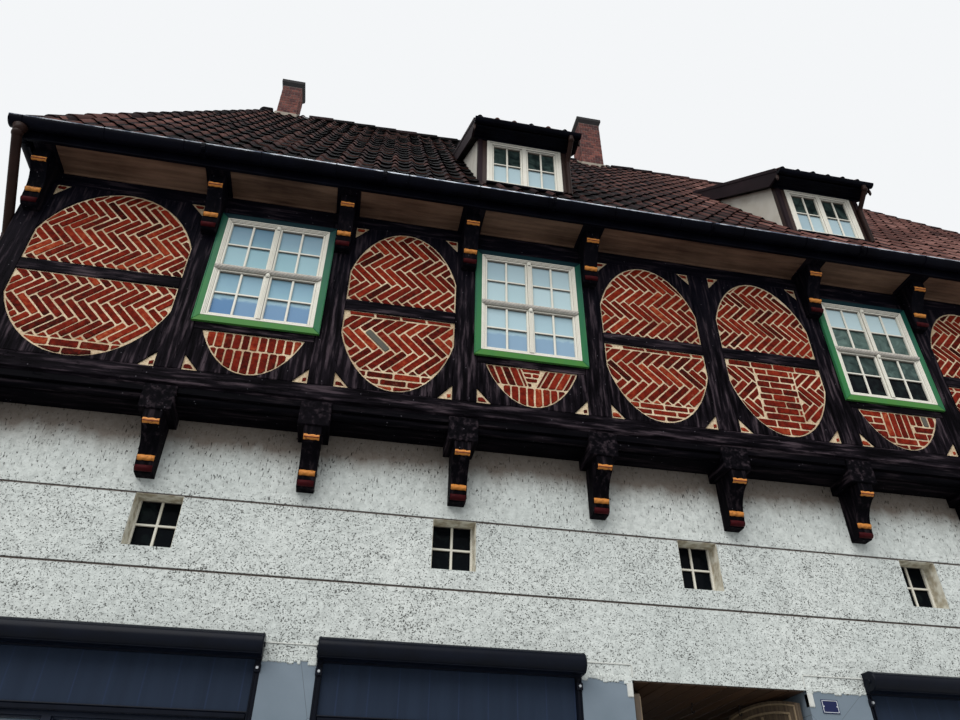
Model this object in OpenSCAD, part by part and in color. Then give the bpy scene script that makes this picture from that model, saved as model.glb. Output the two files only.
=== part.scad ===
// Half timbered town house: a rendered masonry lower storey with shops and a
// gate passage, a jettied timber storey with curved braces and herringbone
// brick, and a steep hipped roof with two shed dormers.
// The origin is on the ground, under the middle of the house.

/* [Plan] */
// Distance between the posts of an ordinary bay
bay = 1305; // [1200:5:1400]
// Distance between the posts of the wide bay at each end
end_bay = 1650; // [1500:10:1800]
// Depth of the timber storey, from front face to back face
house_depth = 7080; // [6400:20:7800]
// How far the timber storey stands out over the masonry, front and back
jetty = 340; // [260:10:400]
// How far the timber storey stands out at the two ends
side_jetty = 85; // [40:5:120]
// Thickness of the masonry walls
wall_t = 400; // [300:10:500]

/* [Masonry storey] */
// Height of the shop openings and of the gate passage
lintel_z = 3040; // [2900:10:3150]
// Height of the lower groove in the render
groove_z = 3660; // [3500:10:3750]
// Height of the small windows
small_win_h = 444; // [380:4:480]
// Width of the small windows
small_win_w = 380; // [300:10:460]
// Height of the window heads, where the upper groove runs
win_head_z = 4273; // [4250:1:4350]
// Height of the top of the masonry
beam_z = 4880; // [4800:10:5000]
// Width of a shop opening
shop_w = 2070; // [1900:10:2150]
// Width of the gate passage
gate_w = 1520; // [1400:10:1600]
// Middle of the gate passage, measured from the middle of the house
gate_x = -370; // [-420:10:-320]
// Height of the floor inside
floor_t = 100; // [60:10:140]

/* [Timber storey] */
// Height of the cross beams whose heads carry the jetty
beam_h = 240; // [200:10:280]
// Width of the cross beams
beam_w = 270; // [220:5:290]
// Height of the sill beam
sill_h = 175; // [140:5:210]
// Clear height of the panels between sill beam and top plate
panel_h = 2015; // [1900:5:2200]
// Height of the top plate
plate_h = 160; // [120:5:200]
// Width of the posts
post_w = 230; // [180:5:260]
// Depth of posts, sill beam and top plate
frame_t = 200; // [160:5:240]
// Thickness of the curved braces and rails
brace_t = 140; // [100:5:180]
// Height of the middle rail above the sill beam
rail_z = 895; // [800:5:950]
// Height of the middle rail
rail_h = 130; // [90:5:160]
// Height of the window sill rail above the sill beam
win_rail_z = 455; // [400:5:500]
// Height of the window sill rail
win_rail_h = 90; // [70:5:120]
// Height of the head rail over a window
head_rail_h = 110; // [80:5:140]
// Least height of a curved brace, where its arc nears the beam
brace_tip = 12; // [8:1:20]
// How far the brick panels stand back from the timber
brick_recess = 15; // [5:1:30]

/* [Eaves and roof] */
// Pitch of the long roof slopes
pitch = 56; // [52:1:60]
// Height of the lower roof edge above the soffit line
eave_rise = 212; // [200:1:230]
// How far the roof edge stands out from the timber face, under the tiles
eave_out = 400; // [390:1:410]
// How far the soffit reaches out from the timber face
soffit_out = 370; // [340:5:390]
// Height of the tie beams
tie_h = 180; // [150:5:200]
// Width of the tie beams
tie_w = 240; // [200:5:260]
// Thickness of the roof, from the inner boards to the bed of the tiles
roof_t = 110; // [90:5:130]
// Distance from the end of the ridge to the end of the house
hip_run = 1050; // [900:5:1300]
// Radius of the gutters
gutter_r = 75; // [60:5:85]

/* [Dormers and chimneys] */
// Width of a dormer over its two cheeks
dormer_w = 1130; // [1050:10:1200]
// Height of the soffit of a dormer above the lower roof edge
dormer_rise = 1425; // [1320:1:1500]
// Rise of the dormer roof for each unit of run
dormer_slope = 0.885; // [0.80:0.005:0.95]
// Side of the square stack near the left end
stack_a = 350; // [320:10:420]
// Side of the square stack near the middle
stack_b = 430; // [380:10:500]

/* [Gate] */
// How far the two gate leaves stand open
gate_open = 70; // [0:1:90]
// Thickness of a gate leaf
leaf_t = 45; // [40:1:50]

/* [Hidden] */
$fn = 48;

// Plan
half_n = 5;
far = 40000;
timber_x = (half_n - 1) * bay + end_bay + post_w / 2;
timber_y = house_depth / 2;
wall_x = timber_x - side_jetty;
wall_y = timber_y - jetty;
in_x = wall_x - wall_t;
in_y = wall_y - wall_t;
gate_l = gate_x - gate_w / 2;
gate_r = gate_x + gate_w / 2;

// Heights
sill_z = beam_z + beam_h;
panel_z = sill_z + sill_h;
plate_z = panel_z + panel_h;
soffit_z = plate_z + plate_h;
tie_top = soffit_z + tie_h;
eave_z = soffit_z + eave_rise;
dormer_z = eave_z + dormer_rise;
small_win_z = win_head_z - small_win_h;
board_t = 25;
joint_gap = 2;

// Shops and small windows, by the middle of each
shop_x = [gate_x - 4695, gate_x - 2220, gate_x + 2350, gate_x + 4825];
small_x = [gate_x - 4695, gate_x - 2240, gate_x, gate_x + 2240, gate_x + 4695];

// Posts and bays of the long fronts
function post_x(i) = abs(i) == half_n ? sign(i) * ((half_n - 1) * bay + end_bay) : i * bay;
function bay_mid(i) = (post_x(i) + post_x(i + 1)) / 2;
function bay_clear(i) = post_x(i + 1) - post_x(i) - post_w;
window_bays = [-4, -2, 1, 3];
oval_bays = [-5, -3, -1, 0, 2, 4];

// Shop fronts
riser_h = 450;
transom_z = 2600;
frame_in = 60;
shop_frame_t = 80;
shop_panel_t = 30;
shop_glass_y = 160;
shop_glass_t = 8;
shop_rebate = 40;
cassette_h = 160;
guide_w = 45;
guide_d = 60;

// Passage, floors and grooves
passage_t = 150;
ceiling_z = lintel_z + 30;
ceiling_t = 30;
shop_ceiling_t = 180;
floor_board_t = 30;
groove_side = 14;
plate_x = [500, 650];
plate_y = 6;
number_z = [2870, 2975];

// Brackets, first the ones under the jetty, then the ones under the eaves. The
// upper roll, the lower roll and the bead lie neck_down, roll_down and bead_down
// below the head, and the lower roll stands out by roll_out.
bracket_w = 150;
bracket_h = [520, 620];
bracket_out = [jetty - 15, 280];
roll_out = [158, 140];
roll_down = [360, 440];
neck_down = [100, 150];
bead_down = [425, 505];
roll_r = 22;
bead_r = 16;
roll_in = 16;
bead_in = 5;
neck_low = 15;

// Mouldings between the beam heads and under the sill beams
filler_in = 20;
filler_block = 108;
filler_low = 100;
filler_bed = 100;
filler_fascia = 60;
filler_roll = 36;
filler_roll_y = 80;
filler_roll_z = 92;
cove_r = 30;
cove_out = 8;
cove_low = 4;

// Panels and windows of the timber storey, measured from the sill beam
brick_t = 110;
oval_over = 1.09;
corner_w = 140;
corner_h = 160;
lining_t = 30;
lining_h = 52;
win_z = win_rail_z + win_rail_h;
win_h = panel_h - head_rail_h - win_z;
win_y = -20;
win_frame = 50;
win_depth = 45;
win_split = 0.52;
cable_r = 27;
sash_back = 12;
stile_w = 28;
bar_w = 22;
bar_back = 20;
bar_depth = 16;
glass_t = 6;
deep = 20;
board_lap = 20;
small_win_y = 150;
small_glass_y = small_win_y + win_depth - sash_back;

// Posts and bays of the two ends
end_n = 5;
end_clear = (2 * (timber_y - frame_t) - (end_n - 1) * post_w) / end_n;
function end_mid(i) = (i - (end_n - 1) / 2) * (end_clear + post_w);

// Roof. Pieces bedded on a slope keep clear of it by seat.
slope = tan(pitch);
seat = 0.6;
eave_y = timber_y + eave_out;
ridge_z = eave_z + slope * eave_y;
ridge_x = timber_x - hip_run;
roof_dz = roof_t / cos(pitch);
hip_foot_x = timber_x + 45;
hip_slope = (ridge_z - tie_top) / (hip_foot_x - ridge_x);
hip_dx = roof_t * sqrt(1 + 1 / (hip_slope * hip_slope));
fascia_y = timber_y + soffit_out;
attic_edge = 90;
ridge_r = 120;
ridge_drop = 90;
ridge_over = 40;
hip_r = 95;
hip_sink = 55;
hip_over = 60;
function roof_z(y) = ridge_z - slope * abs(y);

// Eaves and rainwater
fascia_z = soffit_z - 15;
end_fascia_y = (ridge_z - roof_dz - tie_top) / slope - seat;
function tile_end_z(out) = eave_z - seat - (eave_out - out) / slope;
gutter_y = -soffit_out - board_t - gutter_r;
gutter_z = eave_z - 82;
gutter_end = timber_x + 165;
end_gutter_r = 60;
end_gutter_z = gutter_z - 25;
sheet_t = 5;
pipe_r = 45;
elbow_t = 6;
clip_t = 4;
clip_h = 40;
clip_bar = 30;
pipe_x = timber_x + pipe_r + 8;
pipe_y = [-timber_y + gutter_y, -timber_y + 140];
pipe_z = [gutter_z - gutter_r - 100, gutter_z - gutter_r - 850];
clip_z = concat([pipe_z[1] - 275, panel_z + 105], [for (k = [0.86, 0.53, 0.2]) k * beam_z]);

// Dormers
dormer_x = [bay_mid(-2), bay_mid(1)];
cheek_t = 90;
dormer_out = 195;
dormer_roof_w = dormer_w + 180;
dormer_win_w = dormer_w - 210;
dormer_win_y = -timber_y - 8;
dormer_head = 17;
dormer_win_z = roof_z(timber_y) + board_t;
dormer_win_h = dormer_z - dormer_head - dormer_win_z;
dormer_edge = 65;
casing_w = 65;
dormer_gutter_r = 45;
dormer_gutter_z = dormer_z + 40;
dormer_pipe_r = 30;
function dormer_under(y) = dormer_z + dormer_slope * (y + timber_y);
function seat_z(y) = roof_z(y) + seat;

// Where a line that starts this far above a dormer's soffit meets the long slope
function dormer_meet(rise) =
    (dormer_z + rise + dormer_slope * timber_y - ridge_z - seat) / (slope - dormer_slope);
dormer_back_low = dormer_meet(0);
dormer_back_top = dormer_meet(dormer_edge + dormer_slope * dormer_out);

stack_x = [-5570, 350];
stack_side = [stack_a, stack_b];
stack_top = [ridge_z + 665, ridge_z + 1035];
flue = 180;
cap_h = 170;
cap_out = 38;
cap_bevel = [10, 15];

// Gate
hinge_off = 22;
leaf_back = 18;
leaf_gap = 8;
meet_gap = 6;
leaf_w = gate_w / 2 - leaf_gap - meet_gap;
leaf_rise = 60;
leaf_top = lintel_z - 25;
leaf_low = floor_t + 10;
hinge_y = -wall_y + 40 + leaf_t + leaf_back;
hinge_z = [500, 1600, 2700];
pin_r = 8;
pin_h = 60;
plate_t = 18;
eye_t = 8;
eye_h = 50;
eye_play = 0.05;
strap_w = 420;
strap_t = 6;
stile = 90;
leaf_panel_t = 21;
leaf_panel_in = 12;
middle_w = 50;
leaf_rail_z = [1050, 2150];
leaf_rail_h = 90;

TIMBER = "#1c1a22";
RENDER = "#dcdad2";
BRICK = "#8c2f22";
TILE = "#3b2a27";
SLATE_BLUE = "#171b2e";
WHITE = "#e9ece8";
GREEN = "#1f5a50";
BROWN = "#3a2a25";

module block(x, y, z) translate([x[0], y[0], z[0]]) cube([x[1] - x[0], y[1] - y[0], z[1] - z[0]]);

// Draws its children on one side of the house: x along the front, y = 0 at
// the timber face and growing inward, z up
module facing(side) {
    turn = side == "front" ? 0 : side == "right" ? 90 : side == "back" ? 180 : 270;
    reach = turn % 180 == 0 ? timber_y : timber_x;
    rotate([0, 0, turn]) translate([0, -reach, 0]) children();
}

// A flat shape drawn in the plane of the front, given a thickness inward
module upright(y, t) translate([0, y + t, 0]) rotate([90, 0, 0]) linear_extrude(t) children();

// A shape drawn in y and z, given a width along x
module across(x, w) translate([x - w / 2, 0, 0]) rotate([90, 0, 90]) linear_extrude(w) children();

function oval(a, b, n = 48) = [for (k = [0:n - 1]) [a * cos(360 * k / n), b * sin(360 * k / n)]];

module ground_floor() color("#8f8a80") {
    block([-in_x, in_x], [-in_y, in_y], [0, floor_t]);
    block([gate_l, gate_r], [-wall_y, wall_y], [0, floor_t]);
}

module side_walls() color(RENDER) for (s = [-1, 1]) difference() {
    translate([s * (wall_x - wall_t / 2), 0, beam_z / 2]) cube([wall_t, 2 * wall_y, beam_z], center = true);
    for (z = [groove_z, win_head_z]) {
        for (f = [-1, 1]) groove(z, f * wall_y);
        rotate([0, 0, 90]) groove(z, -s * wall_x);
    }
}

// Masonry between the openings of the ground floor, from the ground up
module ground_piers() color("#c3c6c6") {
    edges = [-in_x, shop_x[0] - shop_w / 2, shop_x[0] + shop_w / 2, shop_x[1] - shop_w / 2,
        shop_x[1] + shop_w / 2, gate_l, gate_r, shop_x[2] - shop_w / 2,
        shop_x[2] + shop_w / 2, shop_x[3] - shop_w / 2, shop_x[3] + shop_w / 2, in_x];
    for (k = [0:2:10]) block([edges[k], edges[k + 1]], [-wall_y, -in_y], [0, lintel_z]);
    for (x = [[-in_x, gate_l], [gate_r, in_x]]) block(x, [in_y, wall_y], [0, lintel_z]);
}

// A shallow groove cut into a wall face
module groove(z, face) translate([0, face, z]) rotate([45, 0, 0])
    cube([2 * timber_x, groove_side, groove_side], center = true);

// Masonry above the openings, below and above the row of small windows, and
// the filling between the cross beams
module wall_bands() color(RENDER) for (s = [-1, 1]) {
    y = s < 0 ? [-wall_y, -in_y] : [in_y, wall_y];
    difference() {
        block([-in_x, in_x], y, [lintel_z, small_win_z]);
        groove(groove_z, s * wall_y);
    }
    difference() {
        block([-in_x, in_x], y, [win_head_z, beam_z]);
        groove(win_head_z, s * wall_y);
    }
    for (i = [-half_n:half_n - 1])
        block([beam_x(i) + beam_w / 2, beam_x(i + 1) - beam_w / 2], y, [beam_z, beam_z + filler_low]);
}

module window_piers() color(RENDER) for (s = [-1, 1], k = [0:5]) {
    x0 = k == 0 ? -in_x : small_x[k - 1] + small_win_w / 2;
    x1 = k == 5 ? in_x : small_x[k] - small_win_w / 2;
    block([x0, x1], s < 0 ? [-wall_y, -in_y] : [in_y, wall_y], [small_win_z, win_head_z]);
}

module passage_walls() color("#8a7a66") for (x = [[gate_l - passage_t, gate_l], [gate_r, gate_r + passage_t]])
    block(x, [-in_y, in_y], [floor_t, ceiling_z]);

module passage_ceiling() color("#5b4033")
    block([gate_l - passage_t, gate_r + passage_t], [-in_y, in_y], [ceiling_z, ceiling_z + ceiling_t]);

// Floors over the shops, over the masonry storey and over the timber storey
module upper_floors() color("#7a6a55") {
    block([-in_x, in_x], [-in_y, in_y], [ceiling_z + ceiling_t, ceiling_z + ceiling_t + shop_ceiling_t]);
    block([-timber_x + frame_t, timber_x - frame_t], [-timber_y + frame_t, timber_y - frame_t],
        [sill_z, sill_z + floor_board_t]);
    block([-timber_x + attic_edge, timber_x - attic_edge], [-timber_y, timber_y],
        [tie_top, tie_top + board_t]);
}

module shop_frames() color(SLATE_BLUE) for (x = shop_x) translate([x, -wall_y, 0]) {
    upright(shop_frame_t, shop_frame_t) difference() {
        translate([-shop_w / 2, 0]) square([shop_w, lintel_z]);
        for (k = [-1:1]) translate([k * shop_w / 3 - shop_w / 6 + frame_in / 2, riser_h])
            square([shop_w / 3 - frame_in, transom_z - riser_h]);
        translate([-shop_w / 2 + frame_in, transom_z + frame_in])
            square([shop_w - 2 * frame_in, lintel_z - transom_z - 2 * frame_in]);
    }
}

module shop_glass() color("#5f7280") for (x = shop_x)
    translate([x - shop_w / 2, -wall_y + shop_glass_y, riser_h - shop_rebate])
        cube([shop_w, shop_glass_t, transom_z - riser_h + 2 * shop_rebate]);

module shop_panels() color("#5b6b82") for (x = shop_x)
    translate([x - shop_w / 2 + frame_in, -wall_y + shop_frame_t + 10, transom_z + frame_in])
        cube([shop_w - 2 * frame_in, shop_panel_t, lintel_z - transom_z - 2 * frame_in]);

// A rolled awning in its case over each shop, with a guide rail at each side
module awning_cassettes() color(SLATE_BLUE) for (x = shop_x) {
    across(x, shop_w) translate([-wall_y - cassette_h / 2, lintel_z + cassette_h / 2]) {
        circle(r = cassette_h / 2);
        translate([0, -cassette_h / 2]) square([cassette_h / 2, cassette_h]);
    }
    for (s = [-1, 1]) translate([x + s * (shop_w - guide_w) / 2, -wall_y + guide_d / 2 + 5, lintel_z / 2])
        cube([guide_w, guide_d, lintel_z], center = true);
}

// Where the gate leaves turn: one hinge line on each side of the passage
module at_hinge(s) translate([s < 0 ? gate_l + hinge_off : gate_r - hinge_off, hinge_y, 0])
    mirror([s < 0 ? 0 : 1, 0, 0]) children();

module gate_hinge_pins() color("#22242a") for (s = [-1, 1]) at_hinge(s) for (z = hinge_z) {
    translate([-hinge_off, -plate_t / 2, z - pin_h / 2]) cube([hinge_off + plate_t / 2, plate_t, pin_h / 2]);
    translate([0, 0, z]) cylinder(r = pin_r, h = pin_h);
}

// Outline of one leaf, seen from the street, with its arched top
module leaf_outline(inset = 0) {
    r = (leaf_w * leaf_w / 4 + leaf_rise * leaf_rise) / (2 * leaf_rise);
    intersection() {
        translate([inset, leaf_low + inset]) square([leaf_w - 2 * inset, leaf_top - leaf_low]);
        translate([leaf_w / 2, leaf_top - r]) circle(r = r - inset, $fn = 360);
    }
}

module gate_leaf() color("#6e5f48") rotate([0, 0, gate_open]) {
    translate([leaf_gap - hinge_off, 0, 0]) {
        upright(-leaf_back - leaf_t, leaf_t) difference() {
            leaf_outline();
            leaf_outline(stile);
        }
        upright(-leaf_back - leaf_t + leaf_panel_in, leaf_panel_t) leaf_outline(stile - 10);
        translate([(leaf_w - middle_w) / 2, -leaf_back - leaf_t, leaf_low + stile / 2])
            cube([middle_w, leaf_t, leaf_top - leaf_low - leaf_rise - stile / 2 - 10]);
        for (z = leaf_rail_z) translate([stile / 2, -leaf_back - leaf_t, z])
            cube([leaf_w - stile, leaf_t, leaf_rail_h]);
    }
    for (z = hinge_z) difference() {
        union() {
            translate([0, 0, z + 1]) cylinder(r = pin_r + eye_t, h = eye_h);
            translate([0, -leaf_back, z + 1]) cube([strap_w, strap_t, eye_h]);
        }
        cylinder(r = pin_r + eye_play, h = lintel_z);
    }
}

module left_gate_leaf() at_hinge(-1) gate_leaf();
module right_gate_leaf() at_hinge(1) gate_leaf();

module number_plate() color("#1d2b6b")
    block(plate_x, [-wall_y - plate_y, -wall_y], number_z);

// Middle of a beam of width w that lies over post i
function beam_x(i, w = beam_w) = abs(i) == half_n ? sign(i) * (timber_x - w / 2) : post_x(i);

module cross_beams() color(TIMBER) for (i = [-half_n:half_n])
    block([beam_x(i) - beam_w / 2, beam_x(i) + beam_w / 2], [-timber_y, timber_y], [beam_z, sill_z]);

// Moulded timbers between the beam heads, bedded on the beam filling: a fascia
// over a roll, in front of a plain block
module filler_beams() color(TIMBER) for (side = ["front", "back"]) facing(side)
    for (i = [-half_n:half_n - 1]) {
        x0 = beam_x(i) + beam_w / 2;
        x1 = beam_x(i + 1) - beam_w / 2;
        across((x0 + x1) / 2, x1 - x0) {
            translate([filler_block, beam_z + filler_low])
                square([jetty + filler_bed - filler_block, beam_h - filler_low]);
            translate([filler_in, sill_z - filler_fascia]) square([jetty - filler_in, filler_fascia]);
            translate([filler_roll_y, sill_z - filler_roll_z]) circle(r = filler_roll);
        }
    }

// Side view of carved bracket k, its head at z = 0 and its back at y = 0: a
// block, a roll, a hollow neck, a second roll, a small bead and a round foot
module bracket_side(k) {
    out = bracket_out[k];
    stock = roll_out[k] - roll_in;
    rise = roll_down[k] - neck_down[k];
    hollow = out - roll_r + roll_in - stock;
    r = (rise * rise + hollow * hollow) / (2 * hollow);
    translate([0, -bracket_h[k] + stock]) square([stock, bracket_h[k] - stock]);
    intersection() {
        translate([0, -bracket_h[k] + stock]) circle(r = stock);
        translate([0, -bracket_h[k]]) square([stock, stock]);
    }
    difference() {
        translate([0, -roll_down[k]]) square([out, roll_down[k]]);
        translate([stock + r, -roll_down[k] - neck_low]) circle(r = r, $fn = 96);
    }
    translate([out - roll_r, -neck_down[k]]) circle(r = roll_r);
    translate([roll_out[k] - roll_r, -roll_down[k]]) circle(r = roll_r);
    on_foot = max(0, bead_down[k] - bracket_h[k] + stock);
    translate([sqrt(stock * stock - on_foot * on_foot) - bead_in, -bead_down[k]]) circle(r = bead_r);
}

module carved_brackets() color(TIMBER) for (side = ["front", "back"]) facing(side)
    for (i = [-half_n:half_n]) {
        jetty_x = min(max(beam_x(i), bracket_w / 2 - wall_x), wall_x - bracket_w / 2);
        across(jetty_x, bracket_w) translate([jetty, beam_z]) mirror([1, 0]) bracket_side(0);
        if (i != 0)
            across(beam_x(i, tie_w), bracket_w) translate([0, soffit_z]) mirror([1, 0]) bracket_side(1);
    }

// Beams right round the timber storey: two long ones, and two between them at
// the ends with a hairline joint
module ring(z, h) {
    for (s = [-1, 1]) block([-timber_x, timber_x],
        [s * (timber_y - frame_t / 2) - frame_t / 2, s * (timber_y - frame_t / 2) + frame_t / 2], [z, z + h]);
    for (s = [-1, 1]) translate([s * (timber_x - frame_t / 2), 0, z + h / 2])
        cube([frame_t, 2 * (timber_y - frame_t - joint_gap), h], center = true);
}

module sill_beams() color(TIMBER) difference() {
    ring(sill_z, sill_h);
    for (side = ["front", "back"]) facing(side)
        across(0, far) translate([-cove_out, sill_z - cove_low]) circle(r = cove_r);
}
module top_plates() color(TIMBER) ring(plate_z, plate_h);

module posts() color(TIMBER) {
    for (side = ["front", "back"]) facing(side) for (i = [-half_n:half_n])
        block([post_x(i) - post_w / 2, post_x(i) + post_w / 2], [0, frame_t], [panel_z, plate_z]);
    for (side = ["left", "right"]) facing(side) for (i = [0:end_n - 2])
        translate([end_mid(i) + end_clear / 2, 0, panel_z]) cube([post_w, frame_t, panel_h]);
}

// Calls its children for each panel with a middle rail
module on_oval_bays() {
    for (side = ["front", "back"]) facing(side) for (i = oval_bays)
        translate([bay_mid(i), 0, panel_z]) { $w = bay_clear(i); children(); }
    for (side = ["left", "right"]) facing(side) for (i = [0:end_n - 1])
        translate([end_mid(i), 0, panel_z]) { $w = end_clear; children(); }
}

module on_window_bays() for (side = ["front", "back"]) facing(side) for (i = window_bays)
    translate([bay_mid(i), 0, panel_z]) { $w = bay_clear(i); children(); }

module rails() color(TIMBER) {
    on_oval_bays() translate([-$w / 2, 0, rail_z]) cube([$w, brace_t, rail_h]);
    on_window_bays() {
        translate([-$w / 2, 0, win_rail_z]) cube([$w, brace_t + deep, win_rail_h]);
        translate([-$w / 2, 0, panel_h - head_rail_h]) cube([$w, brace_t + deep, head_rail_h]);
    }
}

// An oval a little wider than its bay, so that the posts cut it straight at both sides
module oval_shape() intersection() {
    translate([-$w / 2, 0]) square([$w, panel_h]);
    translate([0, panel_h / 2]) polygon(oval(oval_over * $w / 2, panel_h / 2 - brace_tip));
}
module half_oval_shape() translate([0, panel_h / 2])
    polygon(oval($w / 2 + brace_tip, panel_h / 2 - brace_tip));
module rail_strip() translate([-$w / 2, rail_z]) square([$w, rail_h]);

// Small corners of brick left outside the braces, at the foot and at the head of a panel
module corners_shape(ends) for (i = [0, 1], j = ends)
    translate([0, panel_h / 2]) mirror([i, 0]) mirror([0, j]) translate([$w / 2, panel_h / 2])
        polygon([[0, 0], [-corner_w, 0], [0, -corner_h]]);

module curved_braces() color(TIMBER) {
    on_oval_bays() upright(0, brace_t) difference() {
        translate([-$w / 2, 0]) square([$w, panel_h]);
        oval_shape();
        rail_strip();
        corners_shape([0, 1]);
    }
    on_window_bays() upright(0, brace_t) difference() {
        translate([-$w / 2, 0]) square([$w, win_rail_z]);
        half_oval_shape();
        corners_shape([1]);
    }
}

module brick_panels() color(BRICK) {
    on_oval_bays() upright(brick_recess, brick_t) {
        difference() {
            oval_shape();
            rail_strip();
        }
        corners_shape([0, 1]);
    }
    on_window_bays() upright(brick_recess, brick_t) {
        intersection() {
            half_oval_shape();
            translate([-$w / 2, 0]) square([$w, win_rail_z]);
        }
        corners_shape([1]);
    }
}

module window_hole() translate([-$w / 2 + lining_t, win_z + lining_h])
    square([$w - 2 * lining_t, win_h - 2 * lining_h]);

module window_surrounds() color(GREEN) on_window_bays() {
    upright(0, brace_t + deep) difference() {
        translate([-$w / 2, win_z]) square([$w, win_h]);
        window_hole();
    }
    upright(-board_t, board_t) difference() {
        translate([-$w / 2 - board_lap, win_z]) square([$w + 2 * board_lap, win_h]);
        window_hole();
    }
}

// A sash of w by h: rails and stiles with a cross of thin bars between them
module sash(w, h) {
    upright(0, win_depth - sash_back) difference() {
        square([w, h]);
        translate([stile_w, stile_w]) square([w - 2 * stile_w, h - 2 * stile_w]);
    }
    upright(bar_back - sash_back, bar_depth) {
        translate([(w - bar_w) / 2, stile_w / 2]) square([bar_w, h - stile_w]);
        translate([stile_w / 2, (h - bar_w) / 2]) square([w - stile_w, bar_w]);
    }
}

// A fixed frame round two columns of sashes, with the heights of the rows from the foot up
module sash_window(w, h, frame, rows) {
    sw = (w - 2 * frame - win_frame) / 2;
    free = h - 2 * frame - (len(rows) - 1) * win_frame;
    upright(0, win_depth) difference() {
        translate([-w / 2, 0]) square([w, h]);
        for (c = [0, 1], r = [0:len(rows) - 1])
            translate([-w / 2 + frame + c * (sw + win_frame), frame + r * (rows[0] * free + win_frame)])
                square([sw, rows[r] * free]);
    }
    for (c = [0, 1], r = [0:len(rows) - 1])
        translate([-w / 2 + frame + c * (sw + win_frame), sash_back, frame])
            translate([0, 0, r * (rows[0] * free + win_frame)]) sash(sw, rows[r] * free);
    if (len(rows) > 1) translate([0, 0, frame + rows[0] * free + win_frame / 2])
        rotate([0, 90, 0]) cylinder(r = cable_r, h = w - frame, center = true);
}

module window_frames() color(WHITE) {
    on_window_bays() translate([0, win_y, win_z + lining_h])
        sash_window($w - 2 * lining_t, win_h - 2 * lining_h, win_frame, [win_split, 1 - win_split]);
    for (x = dormer_x) translate([x, dormer_win_y, dormer_win_z])
        sash_window(dormer_win_w, dormer_win_h, casing_w, [1]);
    for (side = ["front", "back"], x = small_x) rotate([0, 0, side == "front" ? 0 : 180])
        translate([(side == "front" ? x : -x) - small_win_w / 2, -wall_y + small_win_y, small_win_z])
            sash(small_win_w, small_win_h);
}

module window_glass() color("#a9bcc4") {
    on_window_bays() translate([-$w / 2 + lining_t, win_y + win_depth, win_z + lining_h])
        cube([$w - 2 * lining_t, glass_t, win_h - 2 * lining_h]);
    for (x = dormer_x) translate([x - dormer_win_w / 2, dormer_win_y + win_depth, dormer_win_z])
        cube([dormer_win_w, glass_t, dormer_win_h]);
    for (s = [-1, 1], x = small_x)
        translate([x, s * (wall_y - small_glass_y - glass_t / 2), small_win_z + small_win_h / 2])
            cube([small_win_w, glass_t, small_win_h], center = true);
}

// Half the length of the house at a height on the outer face of a hip
function hip_x(z) = ridge_x + (ridge_z - z) / hip_slope;

// Everything under the outer faces of the roof
module roof_body(drop = 0, hip_in = 0) intersection() {
    across(0, 4 * timber_x) polygon([for (y = [-2 * eave_y, 0, 2 * eave_y]) [y, roof_z(y) - drop]]);
    foot = hip_x(soffit_z) - hip_in;
    top = hip_x(ridge_z + roof_t) - hip_in;
    rotate([0, 0, 90]) across(0, 4 * timber_x)
        polygon([[-foot, soffit_z], [-top, ridge_z + roof_t], [top, ridge_z + roof_t], [foot, soffit_z]]);
}

module tie_beams() color(TIMBER) difference() {
    for (i = [-half_n:half_n]) {
        reach = i == 0 ? timber_y : fascia_y;
        translate([beam_x(i, tie_w), 0, (soffit_z + tie_top) / 2])
            cube([tie_w, 2 * reach, tie_h], center = true);
    }
    difference() {
        translate([0, 0, tie_top]) cube([4 * timber_x, 4 * timber_y, 2 * tie_h], center = true);
        roof_body(roof_dz + seat, hip_dx + seat);
    }
}

module soffit_boards() color("#6b5646") for (side = ["front", "back"]) facing(side)
    for (i = [-half_n:half_n - 1]) {
        x0 = beam_x(i, tie_w) + (i == 0 ? 0 : tie_w / 2);
        x1 = beam_x(i + 1, tie_w) - (i == -1 ? 0 : tie_w / 2);
        block([x0, x1], [-soffit_out, 0], [soffit_z + 10, soffit_z + 10 + board_t]);
    }

// Boards behind the gutters; on the long sides the bevelled top meets the ends
// of the rafters, and the boards of the two ends stand between them
module fascia_boards() color(SLATE_BLUE) {
    for (side = ["front", "back"]) facing(side)
        across(0, 2 * (timber_x + board_t)) polygon([[-soffit_out, fascia_z],
            [-soffit_out - board_t, fascia_z], [-soffit_out - board_t, tile_end_z(soffit_out + board_t)],
            [-soffit_out, tile_end_z(soffit_out)]]);
    for (s = [-1, 1]) translate([s * (timber_x + board_t / 2), 0, (fascia_z + tie_top) / 2])
        cube([board_t, 2 * end_fascia_y, tie_top - fascia_z], center = true);
}

module gutter_section(r) {
    difference() {
        circle(r = r);
        circle(r = r - sheet_t);
        translate([-r, 0]) square(2 * r);
    }
    translate([r - sheet_t, -sheet_t]) square([sheet_t, 4 * sheet_t]);
}

// A length of gutter with both its ends closed
module gutter(length, r) {
    across(0, length) gutter_section(r);
    for (s = [-1, 1]) across(s * (length - sheet_t) / 2, sheet_t) difference() {
        circle(r = r);
        translate([-r, 0]) square(2 * r);
    }
}

module gutters() color(SLATE_BLUE) {
    for (side = ["front", "back"]) facing(side)
        translate([0, gutter_y, gutter_z]) gutter(2 * gutter_end, gutter_r);
    for (side = ["left", "right"]) facing(side) translate([0, -board_t - end_gutter_r, end_gutter_z])
        gutter(2 * (fascia_y + board_t - joint_gap), end_gutter_r);
    for (x = dormer_x) translate([x, -timber_y - dormer_out - dormer_gutter_r, dormer_gutter_z])
        gutter(dormer_roof_w, dormer_gutter_r);
}

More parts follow.
